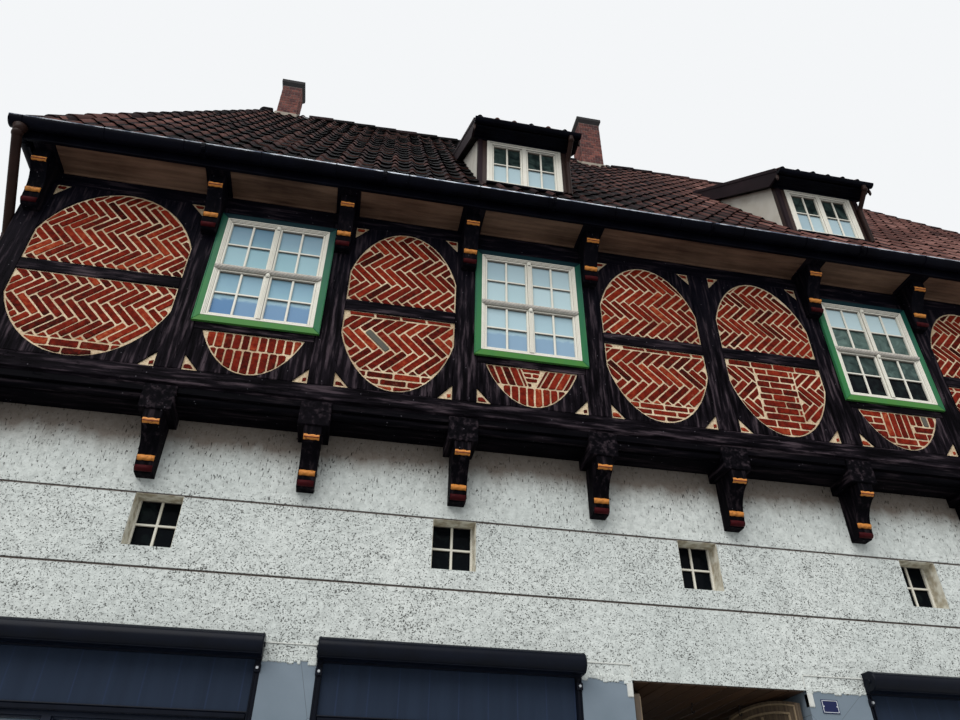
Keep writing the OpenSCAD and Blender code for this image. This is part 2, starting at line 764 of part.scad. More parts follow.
// A pipe that comes down at y[0], bends back to y[1] between the heights z[0]
// and z[1], and goes on down to foot
module swan_pipe(r, y, z, top, foot) {
    neck = [y[1] - y[0], z[1] - z[0]];
    translate([0, y[0], z[0]]) {
        cylinder(r = r, h = top - z[0]);
        sphere(r = r + elbow_t);
        rotate([atan2(neck[1], neck[0]) - 90, 0, 0]) cylinder(r = r, h = norm(neck));
    }
    translate([0, y[1], foot]) cylinder(r = r, h = z[1] - foot);
    translate([0, y[1], z[1]]) sphere(r = r + elbow_t);
}

// Down the corners of the house to the ground, and from each dormer's gutter to the tiles
module downpipes() color(BROWN) {
    for (s = [-1, 1]) translate([s * pipe_x, 0, 0]) {
        swan_pipe(pipe_r, pipe_y, pipe_z, gutter_z - gutter_r, 0);
        for (z = clip_z) translate([0, pipe_y[1], z]) {
            reach = pipe_x - (z < beam_z ? wall_x : timber_x);
            cylinder(r = pipe_r + clip_t, h = clip_h);
            translate([s > 0 ? -reach : 0, -clip_bar / 2, (clip_h - clip_bar) / 2])
                cube([reach, clip_bar, clip_bar]);
        }
    }
    for (x = dormer_x) translate([x + dormer_w / 2 - dormer_pipe_r - 6, 0, 0]) {
        y = [-timber_y - dormer_out - dormer_gutter_r, -timber_y - dormer_pipe_r - 12];
        top = dormer_gutter_z - dormer_gutter_r;
        swan_pipe(dormer_pipe_r, y, [top - 60, top - 240], top, roof_z(y[1] + dormer_pipe_r) + board_t);
        translate([-clip_bar / 2, y[1], top - 420]) cube([clip_bar, -timber_y - y[1], clip_bar]);
    }
}

module roof_slope(s) color(TILE) difference() {
    intersection() {
        across(0, 3 * timber_x) polygon([[s * eave_y, eave_z], [0, ridge_z], [0, ridge_z - roof_dz],
            [s * (eave_y - roof_t * sin(pitch)), eave_z - roof_t * cos(pitch)]]);
        roof_body(0, 0);
    }
    for (k = [0, 1]) translate([stack_x[k], 0, ridge_z])
        cube([stack_side[k], stack_side[k], far], center = true);
    if (s < 0) for (x = dormer_x) {
        block([x - dormer_w / 2, x + dormer_w / 2], [-timber_y, -timber_y + cheek_t], [eave_z, ridge_z]);
        block([x - dormer_w / 2 + cheek_t, x + dormer_w / 2 - cheek_t],
            [-timber_y, dormer_back_low - attic_edge], [eave_z, ridge_z]);
    }
}

module roof_front() roof_slope(-1);
module roof_back() roof_slope(1);

module roof_hips() color(TILE) difference() {
    roof_body(roof_dz + seat, 0);
    roof_body(roof_dz - 1, hip_dx);
    translate([0, 0, tie_top - far / 2]) cube(far, center = true);
    translate([0, 0, ridge_z]) cube([2 * ridge_x, far, far], center = true);
}

module ridge_tiles() color(TILE) difference() {
    translate([0, 0, ridge_z - ridge_drop]) rotate([0, 90, 0])
        cylinder(r = ridge_r, h = 2 * ridge_x + ridge_over, center = true);
    roof_body(0, 0);
    translate([0, 0, ridge_z - ridge_drop - far / 2]) cube(far, center = true);
    for (k = [0, 1]) translate([stack_x[k], 0, ridge_z])
        cube([stack_side[k], stack_side[k], far], center = true);
}

// Round tiles over the four hips, bedded on the slopes
module hip_tiles() color(TILE) {
    top = [ridge_x + hip_over, -hip_over * hip_slope / slope, ridge_z - hip_over * hip_slope];
    foot = [hip_x(eave_z), -eave_y, eave_z];
    run = foot - top;
    for (sx = [0, 1], sy = [0, 1]) mirror([sx, 0, 0]) mirror([0, sy, 0]) difference() {
        translate(top) rotate([0, 90 + atan2(-run[2], norm([run[0], run[1]])), atan2(run[1], run[0])])
            translate([hip_sink, 0, 0]) cylinder(r = hip_r, h = norm(run));
        roof_body(-seat, -seat);
    }
}

// Front of a dormer, standing on the attic floor
module dormer_posts() color(BROWN) for (x = dormer_x) difference() {
    across(x, dormer_w) polygon([[-timber_y, tie_top + board_t], [-timber_y, dormer_z - seat],
        [-timber_y + cheek_t, dormer_under(-timber_y + cheek_t) - seat],
        [-timber_y + cheek_t, tie_top + board_t]]);
    block([x - dormer_win_w / 2, x + dormer_win_w / 2], [-timber_y - 1, -timber_y + cheek_t + 1],
        [dormer_win_z, dormer_z - dormer_head]);
}

module dormer_cheeks() color("#d5cfc2") for (x = dormer_x, s = [-1, 1])
    across(x + s * (dormer_w - cheek_t) / 2, cheek_t) polygon([
        [-timber_y + cheek_t, seat_z(timber_y - cheek_t)],
        [-timber_y + cheek_t, dormer_under(-timber_y + cheek_t) - seat],
        [dormer_meet(-seat), seat_z(dormer_meet(-seat))]]);

// Side view of a dormer roof, with its level soffit in front
module dormer_side() polygon([[-timber_y - dormer_out, dormer_z], [-timber_y, dormer_z],
    [dormer_back_low, seat_z(dormer_back_low)], [dormer_back_top, seat_z(dormer_back_top)],
    [-timber_y - dormer_out, dormer_z + dormer_edge]]);

module dormer_roofs() color(TILE) for (x = dormer_x) across(x, dormer_roof_w - 2 * board_t) dormer_side();

module dormer_verges() color("#6d665f") for (x = dormer_x, s = [-1, 1])
    across(x + s * (dormer_roof_w - board_t) / 2, board_t) dormer_side();

module chimneys() color("#7d4434") for (k = [0, 1]) difference() {
    block([stack_x[k] - stack_side[k] / 2, stack_x[k] + stack_side[k] / 2],
        [-stack_side[k] / 2, stack_side[k] / 2], [tie_top + board_t, stack_top[k]]);
    translate([stack_x[k], 0, tie_top + far / 2 + flue]) cube([flue, flue, far], center = true);
}

// Side view of a cap that flares out from the stack of this width
module cap_side(w) polygon([[-w / 2, 0], [w / 2, 0], [w / 2 + cap_out, cap_h / 2],
    [w / 2 + cap_out, cap_h - cap_bevel[1]], [w / 2 + cap_bevel[0], cap_h], [-w / 2 - cap_bevel[0], cap_h],
    [-w / 2 - cap_out, cap_h - cap_bevel[1]], [-w / 2 - cap_out, cap_h / 2]]);

module chimney_caps() color("#22201f") for (k = [0, 1])
    translate([stack_x[k], 0, stack_top[k]]) difference() {
        intersection() {
            across(0, 2 * stack_side[k]) cap_side(stack_side[k]);
            rotate([0, 0, 90]) across(0, 2 * stack_side[k]) cap_side(stack_side[k]);
        }
        cube([flue, flue, 3 * cap_h], center = true);
    }

ground_floor();
side_walls();
ground_piers();
wall_bands();
window_piers();
passage_walls();
passage_ceiling();
upper_floors();
shop_frames();
shop_glass();
shop_panels();
awning_cassettes();
gate_hinge_pins();
left_gate_leaf();
right_gate_leaf();
number_plate();
cross_beams();
filler_beams();
carved_brackets();
sill_beams();
posts();
rails();
curved_braces();
brick_panels();
top_plates();
window_surrounds();
window_frames();
window_glass();
tie_beams();
soffit_boards();
fascia_boards();
gutters();
downpipes();
roof_front();
roof_back();
roof_hips();
ridge_tiles();
hip_tiles();
dormer_posts();
dormer_cheeks();
dormer_roofs();
dormer_verges();
chimneys();
chimney_caps();
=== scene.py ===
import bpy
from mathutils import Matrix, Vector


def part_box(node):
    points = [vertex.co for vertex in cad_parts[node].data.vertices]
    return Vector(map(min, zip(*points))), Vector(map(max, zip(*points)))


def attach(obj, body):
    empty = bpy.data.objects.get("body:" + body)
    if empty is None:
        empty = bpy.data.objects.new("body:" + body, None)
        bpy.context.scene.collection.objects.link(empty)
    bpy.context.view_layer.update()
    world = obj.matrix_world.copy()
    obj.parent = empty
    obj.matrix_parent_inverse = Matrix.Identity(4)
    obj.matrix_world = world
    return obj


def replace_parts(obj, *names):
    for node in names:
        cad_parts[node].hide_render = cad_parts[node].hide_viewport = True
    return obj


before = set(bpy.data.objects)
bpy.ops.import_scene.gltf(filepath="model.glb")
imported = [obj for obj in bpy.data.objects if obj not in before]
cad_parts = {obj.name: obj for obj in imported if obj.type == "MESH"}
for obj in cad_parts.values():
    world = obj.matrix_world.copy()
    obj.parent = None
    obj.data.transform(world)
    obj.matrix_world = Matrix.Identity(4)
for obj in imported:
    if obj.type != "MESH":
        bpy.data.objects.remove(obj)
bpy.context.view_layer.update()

import math
import random
from functools import partial
from itertools import product

import bmesh
import bpy
from mathutils import Matrix, Vector

random.seed(11)

# The camera stands at eye height a few steps before the left part of the house
# and looks up, so that the posts lean together and the eaves fall to the right.
eye, lens, film = Vector((-3.51, -9.20, 1.60)), 27.89, 36
yaw, pitch, roll = (math.radians(a) for a in (10.416, 35.972, 0.752))
level_right = Vector((math.cos(yaw), -math.sin(yaw), 0))
ahead = Vector((math.sin(yaw) * math.cos(pitch), math.cos(yaw) * math.cos(pitch), math.sin(pitch)))
level_up = level_right.cross(ahead)
right = math.cos(roll) * level_right + math.sin(roll) * level_up
up = math.cos(roll) * level_up - math.sin(roll) * level_right
camera = bpy.data.objects.new("street_camera", bpy.data.cameras.new("street_camera"))
camera.data.sensor_width = film
camera.data.lens = lens
camera.data.clip_end = 300
camera.matrix_world = Matrix.Translation(eye) @ Matrix((right, up, -ahead)).transposed().to_4x4()
bpy.context.scene.collection.objects.link(camera)
bpy.context.scene.camera = camera
bpy.context.scene.view_settings.view_transform = "Standard"


# A pale, even light all round, and a pale floor under the house. The lens and
# shiny surfaces see it near white, and it throws no hard shadow on the walls.
def srgb(code):
    """A hex colour as the linear values that shaders take."""
    channels = [int(code[i:i + 2], 16) / 255 for i in (1, 3, 5)]
    return tuple(c / 12.92 if c <= 0.04045 else ((c + 0.055) / 1.055) ** 2.4 for c in channels) + (1,)


def add_node(tree, kind, sockets=(), out=0, to=None, stops=(), **settings):
    """Adds a node with its settings and the stops of a colour ramp, fills its sockets with values, hex colours
    or links, and returns one output. That output also goes to the shader's socket named by to."""
    made = tree.nodes.new("ShaderNode" + kind)
    for name, value in settings.items():
        setattr(made, name, value)
    for key, value in sockets.items() if isinstance(sockets, dict) else enumerate(sockets):
        if isinstance(value, bpy.types.NodeSocket):
            tree.links.new(value, made.inputs[key])
        else:
            made.inputs[key].default_value = srgb(value) if isinstance(value, str) else value
    for k, (position, code) in enumerate(stops):
        ends = {0: 0, len(stops) - 1: -1}
        stop = made.color_ramp.elements[ends[k]] if k in ends else made.color_ramp.elements.new(position)
        stop.position, stop.color = position, srgb(code)
    if to:
        tree.links.new(made.outputs[out], tree.nodes["Principled BSDF"].inputs[to])
    return made.outputs[out] if made.outputs else made


# A Mix node for colours: its two sockets are 6 and 7, and its result is output 2
by_colour = {"out": 2, "data_type": "RGBA"}


def seen_directly(add):
    """One where the lens sees something straight, in a mirror or through glass, nought for its light."""
    rays = add("LightPath").node.outputs
    seen = add("Math", (rays["Is Camera Ray"], rays["Is Glossy Ray"]), operation="MAXIMUM")
    return add("Math", (seen, rays["Is Transmission Ray"]), operation="MAXIMUM")


world = bpy.data.worlds.new("pale_sky")
bpy.context.scene.world = world
world.use_nodes = True
world.node_tree.nodes.clear()
add = partial(add_node, world.node_tree)
seen = seen_directly(add)
light = add("Background", {"Color": "#eef2f7", "Strength": 0.82})
shown = add("Background", {"Color": "#f4f6f8", "Strength": 1.0})
add("OutputWorld", {"Surface": add("MixShader", {0: seen, 1: light, 2: shown})})

floor_mesh = bpy.data.meshes.new("studio_floor")
reach = 90
floor_mesh.from_pydata([(-reach, -reach, -0.002), (reach, -reach, -0.002), (reach, reach, -0.002),
                        (-reach, reach, -0.002)], [], [(0, 1, 2, 3)])
floor = bpy.data.objects.new("studio_floor", floor_mesh)
bpy.context.scene.collection.objects.link(floor)
paper = bpy.data.materials.new("studio_paper")
paper.use_nodes = True
add = partial(add_node, paper.node_tree)
add("Mix", {0: seen_directly(add), 6: "#8d8f90", 7: "#eceded"}, **by_colour, to="Base Color")
paper.node_tree.nodes["Principled BSDF"].inputs["Roughness"].default_value = 0.9
floor_mesh.materials.append(paper)

lamp = bpy.data.objects.new("wide_soft_lamp", bpy.data.lights.new("wide_soft_lamp", "SUN"))
lamp.data.energy = 2.1
lamp.data.angle = math.radians(50)
lamp.rotation_mode = "QUATERNION"
lamp.rotation_quaternion = Vector((0.45, 0.80, -1.0)).to_track_quat("-Z", "Y")
bpy.context.scene.collection.objects.link(lamp)

# Outer walls of the lower storey: rubble and brick under roughcast, a lime
# render thrown on with grit, off-white and full of small pits, whose shade is
# painted dark. It is stained brown where dirt washes off the beams, and a
# brownish painted shade runs along the two grooves.
jetty_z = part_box("cross_beams")[0].z
groove_z, stroke_z = (3.660, 4.273), (4.27, 4.42)


def new_material(name, colour, rough, **values):
    """A material with its plain values, the function that adds nodes to it, and each point's place in metres."""
    made = bpy.data.materials.new(name)
    made.use_nodes = True
    for key, value in {"Base Color": srgb(colour), "Roughness": rough, **values}.items():
        made.node_tree.nodes["Principled BSDF"].inputs[key.replace("_", " ")].default_value = value
    add = partial(add_node, made.node_tree)
    return made, add, add("TexCoord", out=3)


def waves(*sizes):
    """The scale of a pattern from the real size of its features in millimetres, one for all axes or one each."""
    scale = tuple(round(1000 / size, 1) for size in sizes)
    return scale if len(scale) > 1 else scale[0]


def use(material, *names):
    """Gives CAD nodes this material."""
    for name in names:
        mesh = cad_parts[name].data
        mesh.materials.clear()
        mesh.materials.append(material)


roughcast, add, place = new_material("roughcast_lime_render", "#dcdfda", 0.95, Specular_IOR_Level=0.1)
axes = add("SeparateXYZ", {0: place}).node.outputs
cloud = add("TexNoise", {"Vector": place, "Scale": waves(1100), "Detail": 4.0})
tone = add("Mix", {0: cloud, 6: "#c6ccc7", 7: "#ebede6"}, **by_colour)
lumps = add("TexNoise", {"Vector": place, "Scale": waves(45.5), "Detail": 5.0, "Roughness": 0.6})
tone = add("Mix", {0: add("MapRange", (lumps, 0.35, 0.6, 0.45, 0.0)), 6: tone, 7: "#a3a7a2"}, **by_colour)
# Pits where grit fell out, and upright strokes of the trowel in the top band
# under the beams. Real pits are 2 to 5 mm wide; these are 5 to 10 mm, to show.
top_band = add("MapRange", {0: axes["Z"], 1: stroke_z[0], 2: stroke_z[1], 4: 0.8})
flat = add("Mapping", {"Vector": place, "Scale": waves(12.2, 12.2, 10.2)})
grit = add("TexNoise", {"Vector": flat, "Scale": 1.0, "Detail": 3.0, "Roughness": 0.65})
tall = add("Mapping", {"Vector": place, "Scale": waves(13.33, 13.33, 50)})
stroke = add("TexNoise", {"Vector": tall, "Scale": 1.0, "Detail": 3.0, "Roughness": 0.65})
grit = add("Mix", {0: top_band, 2: grit, 3: stroke})
drift = add("TexNoise", {"Vector": place, "Scale": waves(250), "Detail": 3.0})
grit = add("Math", (drift, 0.14, grit), operation="MULTIPLY_ADD")
pit_and_its_shade = add("MapRange", (grit, 0.478, 0.435))
# Dirt washed off the beams: dark brown right under them, fading in tongues
low = add("MapRange", (axes["Z"], jetty_z - 0.42, jetty_z + 0.03), interpolation_type="SMOOTHSTEP")
run = add("Mapping", {"Vector": place, "Scale": waves(380, 380, 1400)})
tongue = add("TexNoise", {"Vector": run, "Scale": 2.6, "Detail": 5.0})
stain = add("Math", (add("MapRange", (tongue, 0.25, 0.75, -0.25, 0.35)), low), operation="ADD")
stain = add("Math", (add("Math", (stain, low), operation="MULTIPLY"), 0.8), operation="MINIMUM")
tone = add("Mix", {0: stain, 6: tone, 7: "#5c4533"}, **by_colour)
# Painted shade along each of the two grooves: a thin dark brown line, partly dirt
for z in groove_z:
    far = add("Math", (axes["Z"], z), operation="SUBTRACT")
    far = add("Math", (far,), operation="ABSOLUTE")
    groove_shade_line = add("MapRange", (far, 0.012, 0.005))
    groove_shade_line = add("Math", (groove_shade_line, 0.9), operation="MULTIPLY")
    tone = add("Mix", {0: groove_shade_line, 6: tone, 7: "#47342b"}, **by_colour)
# Pits and trowel strokes are painted near black: painted shade inside them
add("Mix", {0: add("Math", (pit_and_its_shade, 0.85), operation="MULTIPLY"), 6: tone, 7: "#28251f"}, **by_colour,
    to="Base Color")
depth = add("Math", (lumps, pit_and_its_shade), operation="SUBTRACT")
add("Bump", {"Height": depth, "Strength": 1.0, "Distance": 0.010}, to="Normal")
use(roughcast, "side_walls", "wall_bands", "window_piers")

# Piers between the shops: brick under a smooth cement render, painted in a
# dull blue-grey. The paint is matt, with hairline cracks and a little dirt.
smooth_render, add, place = new_material("smooth_cement_render", "#76828b", 0.8, Specular_IOR_Level=0.2)
cloud = add("TexNoise", {"Vector": place, "Scale": waves(400), "Detail": 5.0})
tone = add("Mix", {0: cloud, 6: "#66737c", 7: "#85909a"}, **by_colour)
crack = add("TexVoronoi", {"Vector": place, "Scale": waves(590)}, feature="DISTANCE_TO_EDGE")
crack = add("MapRange", (crack, 0.004, 0.0))
add("Mix", {0: crack, 6: tone, 7: "#4e565b"}, **by_colour, to="Base Color")
fine = add("TexNoise", {"Vector": place, "Scale": waves(22.2), "Detail": 4.0})
add("Bump", {"Height": fine, "Strength": 0.25, "Distance": 0.002}, to="Normal")
use(smooth_render, "ground_piers")


# The smooth piers end under a ragged edge of the roughcast. A thin line is
# struck over each pier, and a pale stone block sits at the top inner corner
# of both passage piers; all are lime mortar and stone, flush within 10 mm.
class Shape:
    """Corners, faces and a tone for each face, gathered from many small parts into one mesh."""

    def __init__(self):
        self.points, self.faces, self.tones = [], [], []

    def put(self, part, tone=0.5, place=Matrix.Identity(4)):
        points, faces = part
        start = len(self.points)
        self.points += [place @ Vector(p) for p in points]
        self.faces += [[start + i for i in face] for face in faces]
        self.tones += [tone] * len(faces)

    def piece(self, name, material, slot, body="house", smooth=False):
        mesh = bpy.data.meshes.new(name)
        mesh.from_pydata(self.points, [], self.faces)
        mesh.validate()
        mesh.attributes.new("tone", "FLOAT", "FACE").data.foreach_set("value", self.tones)
        mesh.polygons.foreach_set("use_smooth", [smooth] * len(mesh.polygons))
        mesh.materials.append(material)
        made = bpy.data.objects.new(name, mesh)
        bpy.context.scene.collection.objects.link(made)
        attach(made, body)
        return made


def block(low, high, edge=0.003):
    """A box with its edges taken off."""
    mid = [(a + b) / 2 for a, b in zip(low, high)]
    half = [(b - a) / 2 for a, b in zip(low, high)]
    edge = min(edge, 0.45 * min(half))
    corners = list(product((-1, 1), repeat=3))
    points = [[m + s * (h - (0 if k == axis else edge)) for k, (m, s, h) in enumerate(zip(mid, corner, half))]
              for corner in corners for axis in range(3)]

    def point(axis, s, sa, sb, on):
        sign = [0, 0, 0]
        sign[axis], sign[(axis + 1) % 3], sign[(axis + 2) % 3] = s, sa, sb
        return 3 * corners.index(tuple(sign)) + on

    faces = []
    for axis in range(3):
        a, b = (axis + 1) % 3, (axis + 2) % 3
        for s in (-1, 1):
            faces.append([point(axis, s, sa, sb, axis) for sa, sb in ((-1, -1), (1, -1), (1, 1), (-1, 1))][::s])
        for sa, sb in product((-1, 1), repeat=2):
            ring = [point(axis, s, sa, sb, on) for s, on in ((-1, a), (1, a), (1, b), (-1, b))]
            faces.append(ring[::-sa * sb])
    faces += [[3 * k, 3 * k + 1, 3 * k + 2][::sx * sy * sz] for k, (sx, sy, sz) in enumerate(corners)]
    return points, faces


def clouded(name, colour, rough, size, detail, dark, light, relief=None, sheen=None, between=None, uneven=0.5,
            **values):
    """A material whose noise of this size, drawn long along an axis where three are given, runs from a dark to a
    light shade, and shows in its relief or its sheen."""
    made, add, place = new_material(name, colour, rough, **values)
    if isinstance(size, tuple):
        place = add("Mapping", {"Vector": place, "Scale": waves(*size)})
    cloud = add("TexNoise", {"Vector": place, "Scale": 1.0 if isinstance(size, tuple) else waves(size),
                             "Detail": detail, "Roughness": uneven})
    part = add("MapRange", (cloud, *between)) if between else cloud
    add("Mix", {0: part, 6: dark, 7: light}, **by_colour, to="Base Color")
    if relief:
        add("Bump", {"Height": cloud, "Strength": relief[0], "Distance": relief[1]}, to="Normal")
    if sheen:
        add("MapRange", {0: cloud, 3: sheen[0], 4: sheen[1]}, to="Roughness")
    return made


dressed_stone = clouded("pale_dressed_stone", "#cfcfc8", 0.8, 33.3, 4.0, "#b4b4ab", "#e2e2dc",
                        relief=(0.4, 0.003))
wall_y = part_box("side_walls")[0].y
wall_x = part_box("side_walls")[1].x
lintel_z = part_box("ground_piers")[1].z
gate_edge = (-1.130, 0.390)
shop_mid = (-5.065, -2.590, 1.980, 4.455)
shop_half = 1.035
stone_wide, line_high, line_wide = 0.050, 0.112, 0.009
stones = Shape()
for x0, x1 in ((gate_edge[0] - stone_wide, gate_edge[0]), (gate_edge[1], gate_edge[1] + stone_wide)):
    stones.put(block((x0, wall_y - 0.008, lintel_z - 0.13), (x1, wall_y + 0.05, lintel_z - 0.02), 0.006))
ledges = [(shop_mid[0] + shop_half, shop_mid[1] - shop_half), (shop_mid[1] + shop_half, gate_edge[0]),
          (gate_edge[1], shop_mid[2] - shop_half), (shop_mid[2] + shop_half, shop_mid[3] - shop_half)]
for x0, x1 in ledges:
    stones.put(block((x0, wall_y - 0.007, lintel_z + line_high),
                     (x1, wall_y + 0.02, lintel_z + line_high + line_wide), 0.003))
for x in (gate_edge[0], gate_edge[1] - line_wide):
    stones.put(block((x, wall_y - 0.007, lintel_z + 0.02), (x + line_wide, wall_y + 0.02, lintel_z + line_high),
                     0.003))
stones.piece("stone_blocks_and_lines", dressed_stone, "roughcast")

# Torn lower edge of the roughcast over the piers: the same lime and grit, laid
# on by hand, so that it ends in lumps 20 to 70 mm wide.
torn = Shape()
for x0, x1 in ledges + [(-wall_x, shop_mid[0] - shop_half), (shop_mid[3] + shop_half, wall_x)]:
    x = x0
    while x < x1 - 0.02:
        wide = min(random.uniform(0.02, 0.07), x1 - x)
        drop = random.uniform(0.004, 0.035)
        torn.put(block((x, wall_y - 0.007, lintel_z - drop), (x + wide, wall_y + 0.02, lintel_z + 0.03), 0.006))
        x += wide
torn.piece("torn_roughcast_edge", roughcast, "roughcast")

# Floor of the shops and of the passage: poured concrete, walked grey and
# clouded, with next to no relief.
floor_concrete = clouded("trodden_concrete", "#86837c", 0.8, 330, 8.0, "#6f6c66", "#9b9890",
                         relief=(0.2, 0.004))
use(floor_concrete, "ground_floor")

# Side walls of the passage: lime plaster on brick, once cream. It is rubbed
# and stained brown where gate leaves and loads brushed past.
passage_plaster = clouded("rubbed_lime_plaster", "#8f8069", 0.85, 620, 7.0, "#6a553f", "#a9997d",
                          relief=(0.35, 0.006), uneven=0.62)
use(passage_plaster, "passage_walls")

# Ceiling of the passage: planed boards along the passage, stained dark brown.
# Thin planks run on under the lintels to both fronts, nailed up to battens,
# and three old hooks hang near the front. The floors above are pine.
def boards(name, dark, light, wide, across, grain):
    """Sawn boards of this width, laid side by side along one axis, each of its own tone."""
    made, add, place = new_material(name, light, 0.6)
    axes = add("SeparateXYZ", {0: place}).node.outputs
    count = add("Math", (axes[across], wide), operation="DIVIDE")
    number = add("Math", (count,), operation="FLOOR")
    within = add("Math", (count,), operation="FRACT")
    own = add("TexWhiteNoise", {"W": number}, noise_dimensions="1D")
    long_grain = add("Mapping", {"Vector": place, "Scale": grain})
    fibre = add("TexNoise", {"Vector": long_grain, "Scale": 1.0, "Detail": 6.0})
    mixed = add("Math", (own, fibre), operation="ADD")
    mixed = add("Math", (mixed, 0.5), operation="MULTIPLY")
    colour = add("Mix", {0: mixed, 6: dark, 7: light}, **by_colour)
    edge = add("Math", (within, 0.5), operation="SUBTRACT")
    edge = add("Math", (edge,), operation="ABSOLUTE")
    gap = add("MapRange", (edge, 0.5 - 0.004 / wide, 0.5 - 0.001 / wide))
    add("Mix", {0: gap, 6: colour, 7: "#120d0a"}, **by_colour, to="Base Color")
    height = add("Math", (fibre, gap), operation="SUBTRACT")
    add("Bump", {"Height": height, "Strength": 0.5, "Distance": 0.003}, to="Normal")
    return made


use(boards("stained_ceiling_boards", "#3a2418", "#7a5740", 0.14, 0, waves(16.67, 333, 16.67)),
    "passage_ceiling")
use(boards("pine_floor_boards", "#6f5a42", "#a98d69", 0.16, 1, waves(333, 16.67, 16.67)), "upper_floors")
planks = Shape()
plank_count, plank_pitch, plank_wide = 11, 0.135, 0.128
for k in range(plank_count):
    x0 = gate_edge[0] + 0.02 + k * plank_pitch
    planks.put(block((x0, wall_y + 0.012, lintel_z - 0.012),
                     (x0 + plank_wide, -wall_y - 0.012, lintel_z + 0.001), 0.005), random.random())
ceiling_wood, add, place = new_material("oiled_oak_planks", "#47301f", 0.55, Specular_IOR_Level=0.25)
drawn = add("Mapping", {"Vector": place, "Scale": waves(14.29, 330, 14.29)})
fibre = add("TexNoise", {"Vector": drawn, "Scale": 1.0, "Detail": 6.0})
own = add("Attribute", out=2, attribute_name="tone")
mixed = add("Math", (add("Math", (own, fibre), operation="ADD"), 0.5), operation="MULTIPLY")
add("Mix", {0: mixed, 6: "#25180e", 7: "#4a3322"}, **by_colour, to="Base Color")
add("Bump", {"Height": fibre, "Strength": 0.4, "Distance": 0.002}, to="Normal")
planks.piece("ceiling_planks", ceiling_wood, "brown_boards")


def rod(start, end, radii, sides=12):
    """A round bar from start to end, with its radius at even steps on the way, closed at both ends."""
    start, end = Vector(start), Vector(end)
    along = (end - start).normalized()
    side = along.orthogonal().normalized()
    over = along.cross(side)
    points, faces = [], []
    for k, r in enumerate(radii):
        mid = start.lerp(end, k / (len(radii) - 1))
        points += [mid + r * (math.cos(a) * side + math.sin(a) * over)
                   for a in (2 * math.pi * i / sides for i in range(sides))]
    for k in range(len(radii) - 1):
        ring = k * sides
        faces += [[ring + i, ring + (i + 1) % sides, ring + sides + (i + 1) % sides, ring + sides + i]
                  for i in range(sides)]
    last = (len(radii) - 1) * sides
    return points, faces + [list(range(sides))[::-1], [last + i for i in range(sides)]]


# Hooks and gate fittings: forged iron, blackened in oil, dull, with fine scale
gate_iron = clouded("blackened_forged_iron", "#1b1c20", 0.55, 16.67, 5.0, "#131418", "#3a3230",
                    relief=(0.3, 0.002), Metallic=0.7)
hooks = Shape()
hook_r, hook_wire, y = 0.028, 0.006, wall_y + 0.62
for x in (-0.83, -0.35, 0.10):
    hooks.put(rod((x, y, lintel_z + 0.03), (x, y, lintel_z - 0.04), [0.016, 0.007, hook_wire, hook_wire], 8))
    bend = [(x, y + hook_r * math.cos(a), lintel_z - 0.068 + hook_r * math.sin(a))
            for a in (math.pi * (0.5 - k / 6) for k in range(9))]
    for here, there in zip(bend, bend[1:]):
        hooks.put(rod(here, there, [hook_wire, hook_wire], 8))
hooks.piece("ceiling_hooks", gate_iron, "gate_iron")

# Shop fronts: aluminium frames coated dark navy, with panes between them. The
# coating is smooth and half shiny; rails and posts have a stepped edge.
navy_frame = clouded("navy_coated_frame", "#121826", 0.4, 250, 6.0, "#0f141f", "#1e2535", sheen=(0.28, 0.5),
                     Specular_IOR_Level=0.15)
use(navy_frame, "shop_frames")
steps = Shape()
pane_pitch, pane_half, pane_low, pane_high, step = 0.69, 0.315, 0.45, 2.60, 0.014
riser_pitch, riser_low, riser_high = 0.645, 0.11, 0.36
for mid in shop_mid:
    for k in (-1, 0, 1):
        x0, x1 = mid + k * pane_pitch - pane_half, mid + k * pane_pitch + pane_half
        for a, b in (((x0, pane_low), (x0 + step, pane_high)), ((x1 - step, pane_low), (x1, pane_high)),
                     ((x0 + step, pane_low), (x1 - step, pane_low + step)),
                     ((x0 + step, pane_high - step), (x1 - step, pane_high))):
            steps.put(block((a[0], wall_y + 0.100, a[1]), (b[0], wall_y + 0.155, b[1]), 0.002))
    steps.put(block((mid - shop_half + 0.05, wall_y + 0.050, pane_low - 0.038),
                    (mid + shop_half - 0.05, wall_y + 0.085, pane_low), 0.006))
    for k in range(3):
        x0 = mid - shop_half + 0.11 + k * riser_pitch
        steps.put(block((x0, wall_y + 0.070, riser_low), (x0 + 0.525, wall_y + 0.085, riser_high), 0.008))
steps.piece("frame_steps_and_risers", navy_frame, "shop_metal")

# Shop panes: large sheets of float glass, held in the frames by beads. A
# reflection is painted into their colour: bright in soft bends higher up, and
# dark towards their foot.
shop_pane, add, place = new_material("shop_pane_with_painted_reflection", "#3b4650", 0.04, IOR=1.52, Coat_Weight=1.0,
                                     Coat_Roughness=0.02)
# Painted reflection: soft bends, brighter with height
reflection_bends = add("TexNoise", {"Vector": place, "Scale": waves(1200), "Detail": 3.0, "Distortion": 0.6})
axes = add("SeparateXYZ", {0: place}).node.outputs
rise = add("MapRange", (axes["Z"], 0.4, 2.7))
painted_reflection = add("Math", (rise, reflection_bends), operation="MULTIPLY")
add("Mix", {0: painted_reflection, 6: "#1d2328", 7: "#8fa3b3"}, **by_colour, to="Base Color")
use(shop_pane, "shop_glass")

